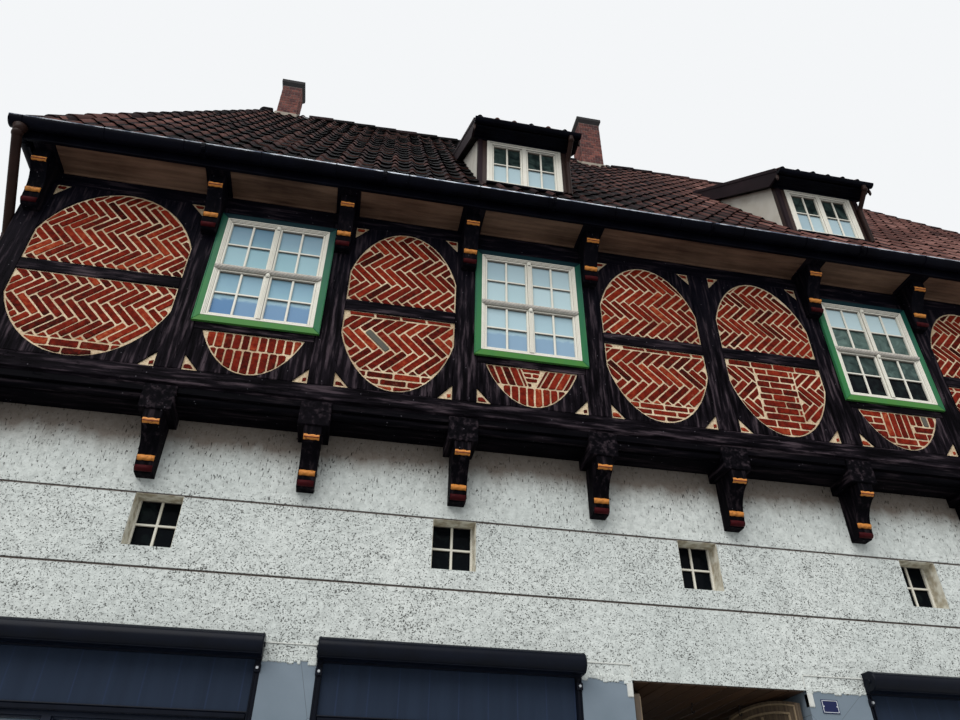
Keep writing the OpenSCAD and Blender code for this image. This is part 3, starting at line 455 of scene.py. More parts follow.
# Screens in front of the panes: woven cloth, dark blue-grey, let down to a
# hem bar, with faint upright lines where the lengths of cloth are welded. The
# weave is drawn in checks of 4 mm, coarser than its real threads of 1 mm.
screen_cloth, add, place = new_material("woven_screen_cloth", "#222c3d", 0.75, Specular_IOR_Level=0.15)
axes = add("SeparateXYZ", {0: place}).node.outputs
seam = add("Math", (axes["X"], 0.23), operation="DIVIDE")
seam = add("Math", (seam,), operation="FRACT")
seam = add("Math", (add("Math", (seam, 0.5), operation="SUBTRACT"),), operation="ABSOLUTE")
seam = add("MapRange", (seam, 0.470, 0.495))
drawn = add("Mapping", {"Vector": place, "Scale": waves(111, 1000, 1700)})
fold = add("TexNoise", {"Vector": drawn, "Scale": 1.0, "Detail": 2.0})
colour = add("Mix", {0: fold, 6: "#1c2534", 7: "#273345"}, **by_colour)
add("Mix", {0: seam, 6: colour, 7: "#27334a"}, **by_colour, to="Base Color")
weave = add("TexChecker", {"Vector": place, "Scale": waves(3.846)}, out=1)
weave = add("Math", (weave, fold), operation="ADD")
add("Bump", {"Height": weave, "Strength": 0.25, "Distance": 0.002}, to="Normal")
use(screen_cloth, "shop_panels")
cloth = Shape()
hem_z = 2.655
for mid in shop_mid:
    x0, x1 = mid - shop_half + 0.047, mid + shop_half - 0.047
    lengths = 36
    for k in range(lengths):
        a, b = (x0 + (x1 - x0) * i / lengths for i in (k, k + 1))
        ya, yb = (wall_y + 0.036 + 0.0025 * math.sin(i * 1.7) for i in (k, k + 1))
        cloth.put(([(a, ya, hem_z), (b, yb, hem_z), (b, yb, lintel_z + 0.01), (a, ya, lintel_z + 0.01)],
                   [(0, 1, 2, 3)]))
cloth.piece("screen_cloths", screen_cloth, "screen_metal", smooth=True)

# Rolled screens live in round-nosed cases of coated aluminium over each shop.
# Guide rails run down both sides, the hem bar slides in them, and small
# clamps with a pale bush hold the rail tops.
navy_case = clouded("navy_coated_aluminium", "#080b14", 0.28, 167, 6.0, "#06080f", "#0f1420",
                    sheen=(0.22, 0.42), Specular_IOR_Level=0.08)
use(navy_case, "awning_cassettes")
cases, bushes = Shape(), Shape()
nose_y, nose_z, nose_r = wall_y - 0.08, lintel_z + 0.08, 0.079
rail_wide, rail_in = 0.045, 0.046
for mid in shop_mid:
    x0, x1 = mid - shop_half, mid + shop_half
    for s, x in ((-1, x0), (1, x1)):
        cases.put(rod((x - s * 0.012, nose_y, nose_z), (x + s * 0.006, nose_y, nose_z), [0.083, 0.083, 0.076],
                      32))
        cases.put(rod((x + s * 0.004, nose_y, nose_z), (x + s * 0.014, nose_y, nose_z), [0.022, 0.018], 16))
    for angle, r in ((-62, 0.0065), (38, 0.004)):
        a = math.radians(angle)
        y, z = nose_y - nose_r * math.cos(a), nose_z + nose_r * math.sin(a)
        cases.put(rod((x0, y, z), (x1, y, z), [r, r], 8))
    cases.put(block((x0 + 0.006, wall_y - 0.012, lintel_z - 0.004),
                    (x1 - 0.006, wall_y + 0.03, lintel_z + 0.012), 0.003))
    xa, xb = x0 + rail_in, x1 - rail_in
    cases.put(block((xa, wall_y + 0.018, hem_z - 0.028), (xb, wall_y + 0.052, hem_z + 0.012), 0.007))
    cases.put(rod((xa, wall_y + 0.020, hem_z + 0.016), (xb, wall_y + 0.020, hem_z + 0.016), [0.006, 0.006], 8))
    for x in (x0, x1 - rail_wide):
        for k in (0.006, 0.032):
            cases.put(block((x + k, wall_y - 0.006, 0.02), (x + k + 0.007, wall_y + 0.02, lintel_z - 0.02),
                            0.002))
    for x in (x0 + 0.022, x1 - 0.022):
        cases.put(block((x - 0.026, wall_y - 0.018, lintel_z - 0.10),
                        (x + 0.026, wall_y + 0.02, lintel_z - 0.045), 0.004))
        bushes.put(rod((x, wall_y - 0.030, lintel_z - 0.072), (x, wall_y - 0.016, lintel_z - 0.072),
                       [0.010, 0.012, 0.012], 12))
cases.piece("case_ends_hems_and_rails", navy_case, "awning_metal")
bush_metal, add, place = new_material("bare_zinc_bush", "#a9abad", 0.45, Metallic=0.9)
spangle = add("TexVoronoi", {"Vector": place, "Scale": waves(4.545)})
add("MapRange", {0: spangle, 3: 0.3, 4: 0.6}, to="Roughness")
bushes.piece("clamp_bushes", bush_metal, "awning_metal")

# Gate: two framed oak leaves with arched heads, oiled brown and greying. Each
# turns on three iron pins, stands open inward, and has strap hinges, raised
# panels, an inner moulding that follows the arch, and a ring to pull.
gate_oak, add, place = new_material("weathered_oiled_oak", "#6d5c46", 0.6)
drawn = add("Mapping", {"Vector": place, "Scale": waves(18.18, 18.18, 450)})
fibre = add("TexNoise", {"Vector": drawn, "Scale": 1.0, "Detail": 7.0})
own = add("Attribute", out=2, attribute_name="tone")
mixed = add("Math", (own, fibre), operation="ADD")
mixed = add("MapRange", (mixed, 0.3, 1.3))
add("Mix", {0: mixed, 6: "#43352a", 7: "#8f7c60"}, **by_colour, to="Base Color")
add("Bump", {"Height": fibre, "Strength": 0.5, "Distance": 0.002}, to="Normal")
use(gate_oak, "left_gate_leaf", "right_gate_leaf")
use(gate_iron, "gate_hinge_pins")
leaf_wide, leaf_low, leaf_top, arch = 0.746, 0.11, 3.015, 0.06
hinge_in, hinge_y, stands_open, strap_z = 0.022, -3.097, 70, (0.5, 1.6, 2.7)
field_x, field_wide, field_rows = (0.105, 0.408), 0.233, ((0.26, 1.01), (1.18, 2.11), (2.28, 2.80))


def slab(outline, front, back, edge=0.003):
    """A flat piece on an outline in x and z, counterclockwise from the front, its front edges taken off."""
    n = len(outline)
    cx, cz = sum(p[0] for p in outline) / n, sum(p[1] for p in outline) / n
    points = [(x, back, z) for x, z in outline] + [(x, front + edge, z) for x, z in outline]
    for x, z in outline:
        k = 1 - 1.4 * edge / max(math.hypot(x - cx, z - cz), 3 * edge)
        points.append((cx + (x - cx) * k, front, cz + (z - cz) * k))
    faces = [[2 * n + i for i in range(n)]]
    for ring in (0, n):
        faces += [[ring + i, ring + (i + 1) % n, ring + n + (i + 1) % n, ring + n + i] for i in range(n)]
    return points, faces


def at_hinge(s):
    """Places what is drawn on a shut leaf, hinge at x = 0 and face at y = -0.063, where the leaf stands."""
    x = gate_edge[0] + hinge_in if s < 0 else gate_edge[1] - hinge_in
    return (Matrix.Translation((x, hinge_y, 0)) @ Matrix.Scale(-s, 4, (1, 0, 0))
            @ Matrix.Rotation(math.radians(stands_open), 4, "Z") @ Matrix.Translation((-0.014, 0, 0)))


for s, name in ((-1, "left"), (1, "right")):
    wood, iron = Shape(), Shape()
    radius = (leaf_wide ** 2 / 4 + arch ** 2) / (2 * arch)
    for front, back in ((-0.069, -0.060), (-0.021, -0.012)):
        for inset, thick in ((0.020, 0.014), (0.082, 0.018)):
            x0, x1 = inset, leaf_wide - inset
            head = [(x, leaf_top - radius + math.sqrt((radius - inset) ** 2 - (x - leaf_wide / 2) ** 2))
                    for x in (x0 + (x1 - x0) * k / 12 for k in range(13))]
            for (xa, za), (xb, zb) in zip(head, head[1:]):
                wood.put(slab([(xa, za - thick), (xb, zb - thick), (xb, zb), (xa, za)], front, back, 0.002),
                         0.8)
            for x in (x0, x1 - thick):
                wood.put(block((x, front, leaf_low + inset), (x + thick, back, head[0][1] - thick), 0.003), 0.8)
            wood.put(block((x0, front, leaf_low + inset), (x1, back, leaf_low + inset + thick), 0.003), 0.8)
    for x0, (z0, z1), (front, back) in product(field_x, field_rows, ((-0.060, -0.048), (-0.034, -0.022))):
        wood.put(block((x0, front, z0), (x0 + field_wide, back, z1), 0.010), random.uniform(0.3, 0.7))
    wood.put(block((leaf_wide / 2 - 0.012, -0.069, leaf_low + 0.1), (leaf_wide / 2 + 0.012, -0.060, 2.9),
                   0.004), 1.0)
    for z, x in product(strap_z, (0.06, 0.18, 0.30, 0.39)):
        iron.put(rod((x, -0.019, z + 0.026), (x, -0.008, z + 0.026), [0.009, 0.009, 0.004], 8))
    ring_x, ring_z = leaf_wide - 0.07, 1.25
    iron.put(rod((ring_x, -0.064, ring_z), (ring_x, -0.074, ring_z), [0.035, 0.033], 20))
    ring = [(ring_x + 0.045 * math.sin(a), -0.078, ring_z - 0.035 - 0.045 * math.cos(a))
            for a in (2 * math.pi * k / 20 for k in range(20))]
    for a, b in zip(ring, ring[1:] + ring[:1]):
        iron.put(rod(a, b, [0.0055, 0.0055], 8))
    turn = at_hinge(s)
    for shape, kind, slot, label in ((wood, gate_oak, "gate_wood", "mouldings"),
                                     (iron, gate_iron, "gate_iron", "ironwork")):
        shape.points = [turn @ p for p in shape.points]
        shape.faces = [face[::-s] for face in shape.faces]
        shape.piece(name + "_leaf_" + label, kind, slot, name + "_gate")

# House number plate: enamelled steel, navy and glossy with a few chips. A white
# line runs round it inside the edge, two screws hold it, and the field is bare.
enamel, add, place = new_material("navy_vitreous_enamel", "#131c47", 0.16, Specular_IOR_Level=0.2)
chips = add("TexVoronoi", {"Vector": place, "Scale": waves(41.7)})
chips = add("MapRange", (chips, 0.05, 0.03))
add("Mix", {0: chips, 6: "#131c47", 7: "#0d0d14"}, **by_colour, to="Base Color")
use(enamel, "number_plate")
plate_low, plate_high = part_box("number_plate")
rim = Shape()
x0, x1 = plate_low.x + 0.008, plate_high.x - 0.008
z0, z1 = plate_low.z + 0.008, plate_high.z - 0.008
for xa, za, xb, zb in ((x0, z0, x1, z0), (x1, z0, x1, z1), (x1, z1, x0, z1), (x0, z1, x0, z0)):
    rim.put(rod((xa, plate_low.y, za), (xb, plate_low.y, zb), [0.0025, 0.0025], 8))
for u in (plate_low.x + 0.016, plate_high.x - 0.016):
    z = (plate_low.z + plate_high.z) / 2
    rim.put(rod((u, plate_low.y + 0.001, z), (u, plate_low.y - 0.004, z), [0.005, 0.005, 0.003], 12))
white_enamel, add, place = new_material("white_vitreous_enamel", "#d9dcdf", 0.15)
chips = add("TexNoise", {"Vector": place, "Scale": waves(11.11)})
add("MapRange", {0: chips, 3: 0.1, 4: 0.3}, to="Roughness")
rim.piece("plate_rim_and_screws", white_enamel, "enamel")

# Frame of the upper storey: oak beams, hewn, pegged and tarred nearly black. The
# tar has long cracks, a blue-violet cast and pale specks of lime. The grain is
# drawn in ridges up to 45 mm apart, coarser than real, so that it shows.
front_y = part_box("posts")[0].y
end_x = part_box("posts")[1].x


def tarred_oak(name, grain, crosswise=None, tar=0.0):
    """Tarred oak with its fibres along the axis where grain is small; crosswise takes over on the two ends,
    and tar darkens the whole; on the filler beams, which sit back in shade, it is painted shade."""
    made, add, place = new_material(name, "#120f14", 0.75, Specular_IOR_Level=0.02)
    along = add("Mapping", {"Vector": place, "Scale": grain})
    if crosswise:
        axes = add("SeparateXYZ", {0: place}).node.outputs
        out = add("Math", (axes["X"],), operation="ABSOLUTE")
        out = add("Math", (out, end_x - 0.2), operation="GREATER_THAN")
        inner = add("Math", (axes["Y"],), operation="ABSOLUTE")
        inner = add("Math", (inner, -front_y - 0.201), operation="LESS_THAN")
        on_end = add("Math", (out, inner), operation="MULTIPLY")
        other = add("Mapping", {"Vector": place, "Scale": crosswise})
        along = add("Mix", {0: on_end, 4: along, 5: other}, 1, data_type="VECTOR")
    fibre = add("TexNoise", {"Vector": along, "Scale": 1.0, "Detail": 6.0, "Roughness": 0.6})
    colour = add("ValToRGB", {0: fibre}, stops=((0.41, "#020103"), (0.53, "#151116"), (0.66, "#4a3f44")))
    # Painted shade under the eaves: the tar turns darker and bluish towards them
    level = add("SeparateXYZ", {0: place}, 2)
    level = add("MapRange", {0: level, 1: 6.0, 2: 7.3, 4: 0.6})
    colour = add("Mix", {0: level, 6: colour, 7: "#0a0b15"}, **by_colour)
    patch = add("TexNoise", {"Vector": place, "Scale": waves(770), "Detail": 4.0})
    patch = add("MapRange", {0: patch, 1: 0.5, 2: 0.75, 4: 0.35})
    colour = add("Mix", {0: patch, 6: colour, 7: "#201a20"}, **by_colour)
    split = add("TexNoise", {"Vector": along, "Scale": 0.8, "Detail": 2.0})
    split = add("Math", (split, 0.5), operation="SUBTRACT")
    crack = add("MapRange", (add("Math", (split,), operation="ABSOLUTE"), 0.006, 0.0))
    colour = add("Mix", {0: crack, 6: colour, 7: "#050406"}, **by_colour)
    colour = add("Mix", {0: tar, 6: colour, 7: "#050508"}, **by_colour)
    specks = add("TexVoronoi", {"Vector": place, "Scale": waves(77), "Randomness": 1.0})
    speck = add("MapRange", (specks, 0.075, 0.045))
    speck = add("Math", (speck, 0.45), operation="MULTIPLY")
    add("Mix", {0: speck, 6: colour, 7: "#7f7a80"}, **by_colour, to="Base Color")
    height = add("Math", (fibre, crack), operation="SUBTRACT")
    add("Bump", {"Height": height, "Strength": 0.8, "Distance": 0.005}, to="Normal")
    add("MapRange", {0: fibre, 3: 0.5, 4: 0.78}, to="Roughness")
    return made


oak_up = tarred_oak("tarred_oak_upright", waves(45.5, 45.5, 450))
oak_along = tarred_oak("tarred_oak_lengthwise", waves(450, 45.5, 45.5), waves(45.5, 450, 45.5))
oak_through = tarred_oak("tarred_oak_beam_heads", waves(45.5, 450, 45.5), None, 0.5)
oak_carved = tarred_oak("tarred_oak_carving", waves(45.5, 45.5, 450), None, 0.65)
# The filler beams sit back between the beam heads: their extra darkness is painted shade
oak_filler_in_shade = tarred_oak("tarred_oak_between_beams_in_painted_shade", waves(450, 45.5, 45.5), None, 0.75)
use(oak_up, "posts", "curved_braces")
use(oak_along, "sill_beams", "top_plates", "rails")
use(oak_filler_in_shade, "filler_beams")
use(oak_through, "cross_beams", "tie_beams")
use(oak_carved, "carved_brackets")
# Hewn and weathered arrises: every timber has lost about 6 mm at its edges
for name in ("posts", "curved_braces", "sill_beams", "top_plates", "rails", "cross_beams", "tie_beams"):
    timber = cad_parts[name]
    weld = timber.modifiers.new("weld", "WELD")
    weld.merge_threshold = 0.0002
    worn = timber.modifiers.new("worn_edges", "BEVEL")
    worn.width = 0.006
    worn.segments = 1
    worn.limit_method = "ANGLE"
    worn.angle_limit = math.radians(50)
    worn.harden_normals = False

# Carved brackets under the jetty and under the eaves, each cut from one piece
# of oak: a block, a hollow neck and a square foot. Their two rolls are twisted
# like rope and painted gold, and a round bead at the foot is oxblood red.
bracket_gold, add, place = new_material("weathered_gold_paint", "#c87c30", 0.5, Specular_IOR_Level=0.3)
wear = add("TexNoise", {"Vector": place, "Scale": waves(35.7), "Detail": 5.0})
own = add("Attribute", out=2, attribute_name="tone")
colour = add("Mix", {0: own, 6: "#6d2814", 7: "#d5883a"}, **by_colour)
worn = add("MapRange", {0: wear, 1: 0.56, 2: 0.72, 4: 0.8})
add("Mix", {0: worn, 6: colour, 7: "#6b3216"}, **by_colour, to="Base Color")
add("Bump", {"Height": wear, "Strength": 0.4, "Distance": 0.002}, to="Normal")
oxblood = clouded("oxblood_oil_paint", "#30080c", 0.55, 41.7, 5.0, "#220508", "#4a1015", relief=(0.3, 0.002),
                  Specular_IOR_Level=0.06)


def rope(x0, x1, y, z, radius, strands, turn_length, depth, sides=18, step=0.006):
    """A twisted cable along x, its strands standing out of the core by depth."""
    count = max(2, round((x1 - x0) / step))
    points, faces = [], []
    for k in range(count + 1):
        x = x0 + (x1 - x0) * k / count
        for i in range(sides):
            a = 2 * math.pi * i / sides
            wave = abs(math.sin(strands * a / 2 + math.pi * (x - x0) / turn_length))
            r = radius - depth * (1 - wave) ** 1.5
            points.append((x, y + r * math.cos(a), z + r * math.sin(a)))
    for k in range(count):
        ring = k * sides
        faces += [[ring + i, ring + sides + i, ring + sides + (i + 1) % sides, ring + (i + 1) % sides]
                  for i in range(sides)]
    last = count * sides
    return points, faces + [list(range(sides)), [last + i for i in range(sides)][::-1]]


bay, beam_half = 1.305, 0.12
post_x = [k * bay for k in range(-4, 5)]
plate_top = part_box("top_plates")[1].z


def facing(side):
    """Places a piece drawn on the front on any side: x along it, y inward from the timber face, z up."""
    turn = ("front", "right", "back", "left").index(side)
    return (Matrix.Rotation(turn * math.pi / 2, 4, "Z")
            @ Matrix.Translation((0, front_y if turn % 2 == 0 else -end_x, 0)))


def bracket_side(out, stock, upper, lower, foot):
    """Side view of a bracket, outward and up from its head: foot, hollow neck and block."""
    rise, hollow = upper - lower, out - stock - 0.006
    r = (rise * rise + hollow * hollow) / (2 * hollow)
    neck = [(stock + r - math.sqrt(r * r - (rise * k / 10) ** 2), lower - 0.015 + rise * k / 10)
            for k in range(10)]
    return ([(0, foot), (stock - 0.042, foot), (stock - 0.012, foot + 0.025), (stock - 0.004, lower - 0.03)]
            + neck + [(out, upper - 0.012), (out, 0), (0, 0)])


carved, gold, red = Shape(), Shape(), Shape()
bracket_half, roll_half, bead_half = 0.075, 0.067, 0.068
jetty_rolls = ((0.037, jetty_z - 0.100, 0.027), (0.204, jetty_z - 0.360, 0.027))
jetty_bead = (0.219, jetty_z - 0.446, 0.026)
eave_rolls = ((-0.266, plate_top - 0.130, 0.026), (-0.126, plate_top - 0.410, 0.026))
eave_bead = (-0.112, plate_top - 0.530, 0.024)
for side in ("front", "back"):
    turn = facing(side)
    jetty_side = (0.34, jetty_z, bracket_side(0.325, 0.142, -0.100, -0.360, -0.480))
    eave_side = (0.0, plate_top, bracket_side(0.280, 0.126, -0.130, -0.410, -0.570))
    heads = [(x, jetty_rolls, jetty_bead, jetty_side) for x in
             [-wall_x + bracket_half] + post_x + [wall_x - bracket_half]]
    heads += [(x, eave_rolls, eave_bead, eave_side) for x in
              [-end_x + beam_half] + [x for x in post_x if abs(x) > 0.1] + [end_x - beam_half]]
    for x, rolls, bead, (back, head, outline) in heads:
        stand = turn @ Matrix.Translation((x, back, head)) @ Matrix.Rotation(-math.pi / 2, 4, "Z")
        points, faces = slab(outline, -bracket_half, 0.0, 0.004)
        carved.put((points, faces), 0.5, stand)
        carved.put(([(px, -py, pz) for px, py, pz in points], [face[::-1] for face in faces]), 0.5, stand)
        for k, (y, z, r) in enumerate(rolls):
            gold.put(rope(x - roll_half, x + roll_half, y, z, r, 3, 0.062, 0.004, 16, 0.005), 0.95, turn)
            if k == 0:
                ends = [(xe, y - r * 0.86, z - 0.012) for xe in (x - 0.064, x + 0.064)]
                gold.put(rod(*ends, [0.005, 0.005], 8), 0.0, turn)
        y, z, r = bead
        red.put(rod((x - bead_half, y, z), (x + bead_half, y, z), [r, r + 0.001, r + 0.001, r], 16), 0.5, turn)
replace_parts(carved.piece("carved_oak_brackets", oak_carved, "dark_timber"), "carved_brackets")
gold.piece("gold_rope_rolls", bracket_gold, "dark_timber", smooth=True)
red.piece("oxblood_beads", oxblood, "dark_timber", smooth=True)

# Panels inside the curved braces: hand-made red bricks in cream lime mortar, in
# herringbone, with flat and upright courses at foot, rails and windows. Joints
# are drawn 14.5 mm wide, a little more than real, so that they show.
red_brick, add, place = new_material("hand_made_red_brick", "#67200f", 0.9, Specular_IOR_Level=0.08)
own = add("Attribute", out=2, attribute_name="tone")
grain = add("TexNoise", {"Vector": place, "Scale": waves(41.7), "Detail": 6.0, "Roughness": 0.65})
mixed = add("Math", (add("Math", (grain, 0.5), operation="SUBTRACT"), 1.1), operation="MULTIPLY")
mixed = add("Math", (add("Math", (own, 0.08), operation="MAXIMUM"), mixed), operation="ADD")
colour = add("ValToRGB", {0: mixed}, stops=((0.0, "#1d0704"), (0.22, "#3f0e07"), (0.45, "#67190d"),
                                            (0.68, "#832614"), (0.86, "#9b4024"), (1.0, "#b06a45")))
grey = add("Math", (own, 0.02), operation="LESS_THAN")
colour = add("Mix", {0: grey, 6: colour, 7: "#5d5b53"}, **by_colour)
# Limewash smears over some faces, and soot lies in broad patches
smear = add("TexNoise", {"Vector": place, "Scale": waves(91), "Detail": 7.0, "Roughness": 0.7})
smear = add("MapRange", {0: smear, 1: 0.60, 2: 0.78, 4: 0.55})
colour = add("Mix", {0: smear, 6: colour, 7: "#9a6a52"}, **by_colour)
soot = add("TexNoise", {"Vector": place, "Scale": waves(420), "Detail": 6.0})
soot = add("MapRange", {0: soot, 1: 0.55, 2: 0.78, 4: 0.6})
add("Mix", {0: soot, 6: colour, 7: "#2c0f0b"}, **by_colour, to="Base Color")
add("Bump", {"Height": grain, "Strength": 0.8, "Distance": 0.006}, to="Normal")

lime_mortar, add, place = new_material("cream_lime_mortar", "#c9b292", 0.92, Specular_IOR_Level=0.2)
sand = add("TexNoise", {"Vector": place, "Scale": waves(18.18), "Detail": 4.0})
patch = add("TexNoise", {"Vector": place, "Scale": waves(330), "Detail": 5.0})
mixed = add("Math", (sand, patch), operation="MULTIPLY")
add("Mix", {0: add("MapRange", (mixed, 0.12, 0.36)), 6: "#a98d6d", 7: "#e6d1af"}, **by_colour, to="Base Color")
add("Bump", {"Height": sand, "Strength": 0.6, "Distance": 0.003}, to="Normal")
use(lime_mortar, "brick_panels")


def cut(shape, lines):
    """What is left of a convex outline on the left of each line."""
    for (ax, ay), (bx, by) in lines:
        kept = []
        for i, (px, py) in enumerate(shape):
            qx, qy = shape[(i + 1) % len(shape)]
            p = (bx - ax) * (py - ay) - (by - ay) * (px - ax)
            q = (bx - ax) * (qy - ay) - (by - ay) * (qx - ax)
            if p >= 0:
                kept.append((px, py))
            if p * q < 0:
                kept.append((px + p / (p - q) * (qx - px), py + p / (p - q) * (qy - py)))
        if len(kept) < 3:
            return []
        shape = kept
    return shape


def ring_lines(outline):
    return list(zip(outline, outline[1:] + outline[:1]))


def area(shape):
    return sum(a[0] * b[1] - b[0] * a[1] for a, b in ring_lines(shape)) / 2


brick_long, brick_high, brick_wide, joint = 0.250, 0.074, 0.0765, 0.0145


def within_joints(a0, b0, a1, b1):
    """The face of a brick in its share of the wall, half a joint in all round."""
    gap = joint / 2
    return [(a0 + gap, b0 + gap), (a1 - gap, b0 + gap), (a1 - gap, b1 - gap), (a0 + gap, b1 - gap)]


def courses(kind, x0, x1, z0, z1, phase, pitch, lean):
    """Outlines of the bricks of one bond over a box. A herringbone starts with the foot of a row at phase
    and climbs by pitch a row; the other bonds have an upright joint at phase."""
    found = []
    if kind == "herring":
        c = math.sqrt(0.5)
        long = pitch / c
        high = 0.254 * long
        top = phase + 2 * pitch * (math.ceil((z0 - phase) / (2 * pitch)) - 1)
        for i in range(math.floor(x0 / (2 * c * high)) - 3, math.ceil(x1 / (2 * c * high)) + 3):
            for j in range(math.ceil((z1 - top) / (2 * pitch)) + 2):
                for a0, a1, b0, b1 in ((0, long, 0, high), (long, long + high, high - long, high)):
                    found.append([((a + b) * c + 2 * i * high * c, (b - a) * c + top + 2 * pitch * (j + 1))
                                  for a, b in within_joints(a0, b0, a1, b1)])
    elif kind == "flat":
        count = max(1, round((z1 - z0) / (pitch or brick_high)))
        high = (z1 - z0) / count
        for j in range(count):
            start = phase + (0.5 * brick_long if j % 2 else 0)
            for i in range(math.floor((x0 - start) / brick_long), math.ceil((x1 - start) / brick_long)):
                a, b = start + i * brick_long, z0 + j * high
                found.append(within_joints(a, b, a + brick_long, b + high))
    else:
        for i in range(math.floor((x0 - phase) / brick_wide) - 2, math.ceil((x1 - phase) / brick_wide) + 2):
            a = phase + i * brick_wide
            found.append([(p + lean * (z1 - q), q) for p, q in within_joints(a, z0, a + brick_wide, z1)])
    return found


def lay(outline, regions, turn, x, z):
    """Fills a convex outline with bricks, region by region: a bond, its foot and head, its phase and pitch,
    and its left and right edges, each given at the foot and at the head."""
    inside = ring_lines(outline)
    for kind, z0, z1, phase, pitch, left, right in regions:
        gap = joint / 2
        lines = inside + [((0, z0 + gap), (1, z0 + gap)), ((1, z1 - gap), (0, z1 - gap)),
                          ((left[1] + gap, z1), (left[0] + gap, z0)),
                          ((right[0] - gap, z0), (right[1] - gap, z1))]
        x0, x1 = max(min(left), -0.8), min(max(right), 0.8)
        lean = (left[0] - left[1]) / (z1 - z0) if abs(left[0]) < 9 else 0
        for ring in courses(kind, x0, x1, z0, z1, phase, pitch, lean):
            kept = cut(ring, lines)
            if len(kept) < 3 or area(kept) < 0.0013:
                continue
            wavy = []
            for (ax, ay), (bx, by) in ring_lines(kept):
                length = math.dist((ax, ay), (bx, by))
                if length < 0.035:
                    wavy.append((ax, ay))
                    continue
                for k in (0.009 / length, 0.5, 1 - 0.009 / length):
                    if k != 0.5 or length > 0.12:
                        wavy.append((ax + (bx - ax) * k + random.uniform(-0.002, 0.002),
                                     ay + (by - ay) * k + random.uniform(-0.002, 0.002)))
            proud = 0.015 - random.uniform(0.002, 0.009)
            tone = min(0.8, max(0.12, random.gauss(0.47, 0.13)))
            if random.random() < 0.05:
                tone = random.uniform(0.72, 0.88)
            if random.random() < 0.004:
                tone = 0.0
            bricks.put(slab([(x + px, z + pz) for px, pz in wavy], proud, 0.018, 0.004), tone, turn)


def oval(a, b, z, x=0.0, n=48):
    return [(x + a * math.cos(2 * math.pi * k / n), z + b * math.sin(2 * math.pi * k / n)) for k in range(n)]


panel_z, panel_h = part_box("curved_braces")[0].z, 2.015
bay_clear, end_clear, end_post = 1.075, 1.42, end_x - 0.115
rail_low, rail_high = 0.895, 1.025
window_sill = 0.455
any_left, any_right = (-9, -9), (9, 9)


def whole(kind, z0, z1, phase, pitch=0.0, left=any_left, right=any_right):
    return kind, z0, z1, phase, pitch, left, right


usual = ([whole("flat", 0.845, 0.9, 0.03), whole("herring", 0.22, 0.845, 0.225, 0.212),
          whole("flat", 0.0, 0.22, 0.0)], [whole("herring", 1.0, 2.1, 1.035, 0.203)])
panels = {
    -5: ([whole("herring", 0.18, 0.9, 0.19, 0.198), whole("flat", 0.01, 0.18, -0.06)],
         [whole("herring", 1.0, 2.1, 1.06, 0.196)]),
    -3: ([whole("flat", 0.845, 0.9, 0.01), whole("herring", 0.22, 0.845, 0.225, 0.214),
          whole("flat", 0.0, 0.22, -0.01)], [whole("herring", 1.0, 2.1, 1.055, 0.205)]),
    -1: ([whole("flat", 0.845, 0.9, -0.10, 0.0, (-0.38, -0.38)),
          whole("herring", 0.845, 0.9, 0.225, 0.213, any_left, (-0.38, -0.38)),
          whole("herring", 0.22, 0.845, 0.225, 0.213), whole("flat", 0.03, 0.22, 0.01)],
         [whole("herring", 1.0, 2.1, 1.03, 0.208)]),
    0: ([whole("flat", 0.82, 0.9, 0.0), whole("herring", 0.2, 0.82, 0.39, 0.21, any_left, (-0.23, -0.23)),
         whole("flat", 0.2, 0.82, 0.04, 0.0, (-0.23, -0.23), (0.21, 0.21)),
         whole("herring", 0.2, 0.82, 0.2, 0.205, (0.21, 0.21)), whole("flat", 0.03, 0.2, 0.01)],
        [whole("herring", 1.0, 2.1, 1.04, 0.194)])}
under_windows = {
    -2: [whole("upright", 0.24, 0.46, 0.0, 0.0, (-0.44, -0.52), (-0.04, -0.115)),
         whole("flat", 0.24, 0.46, 0.0, 0.05, (-0.04, -0.115), (0.03, 0.10)),
         whole("upright", 0.24, 0.46, 0.10, 0.0, (0.03, 0.14)), whole("upright", 0.0, 0.24, 0.02)],
    1: [whole("upright", 0.155, 0.46, -0.035, 0.0, (-0.19, -0.19), (0.11, 0.11)),
        whole("flat", 0.14, 0.46, -0.06, 0.0, any_left, (-0.19, -0.19)),
        whole("upright", 0.32, 0.46, 0.11, 0.0, (0.11, 0.11)),
        whole("flat", 0.155, 0.32, 0.26, 0.0, (0.11, 0.11)), whole("flat", 0.0, 0.155, 0.0)]}
upright_rows = [whole("upright", 0.28, 0.46, 0.055), whole("upright", 0.0, 0.28, 0.09)]
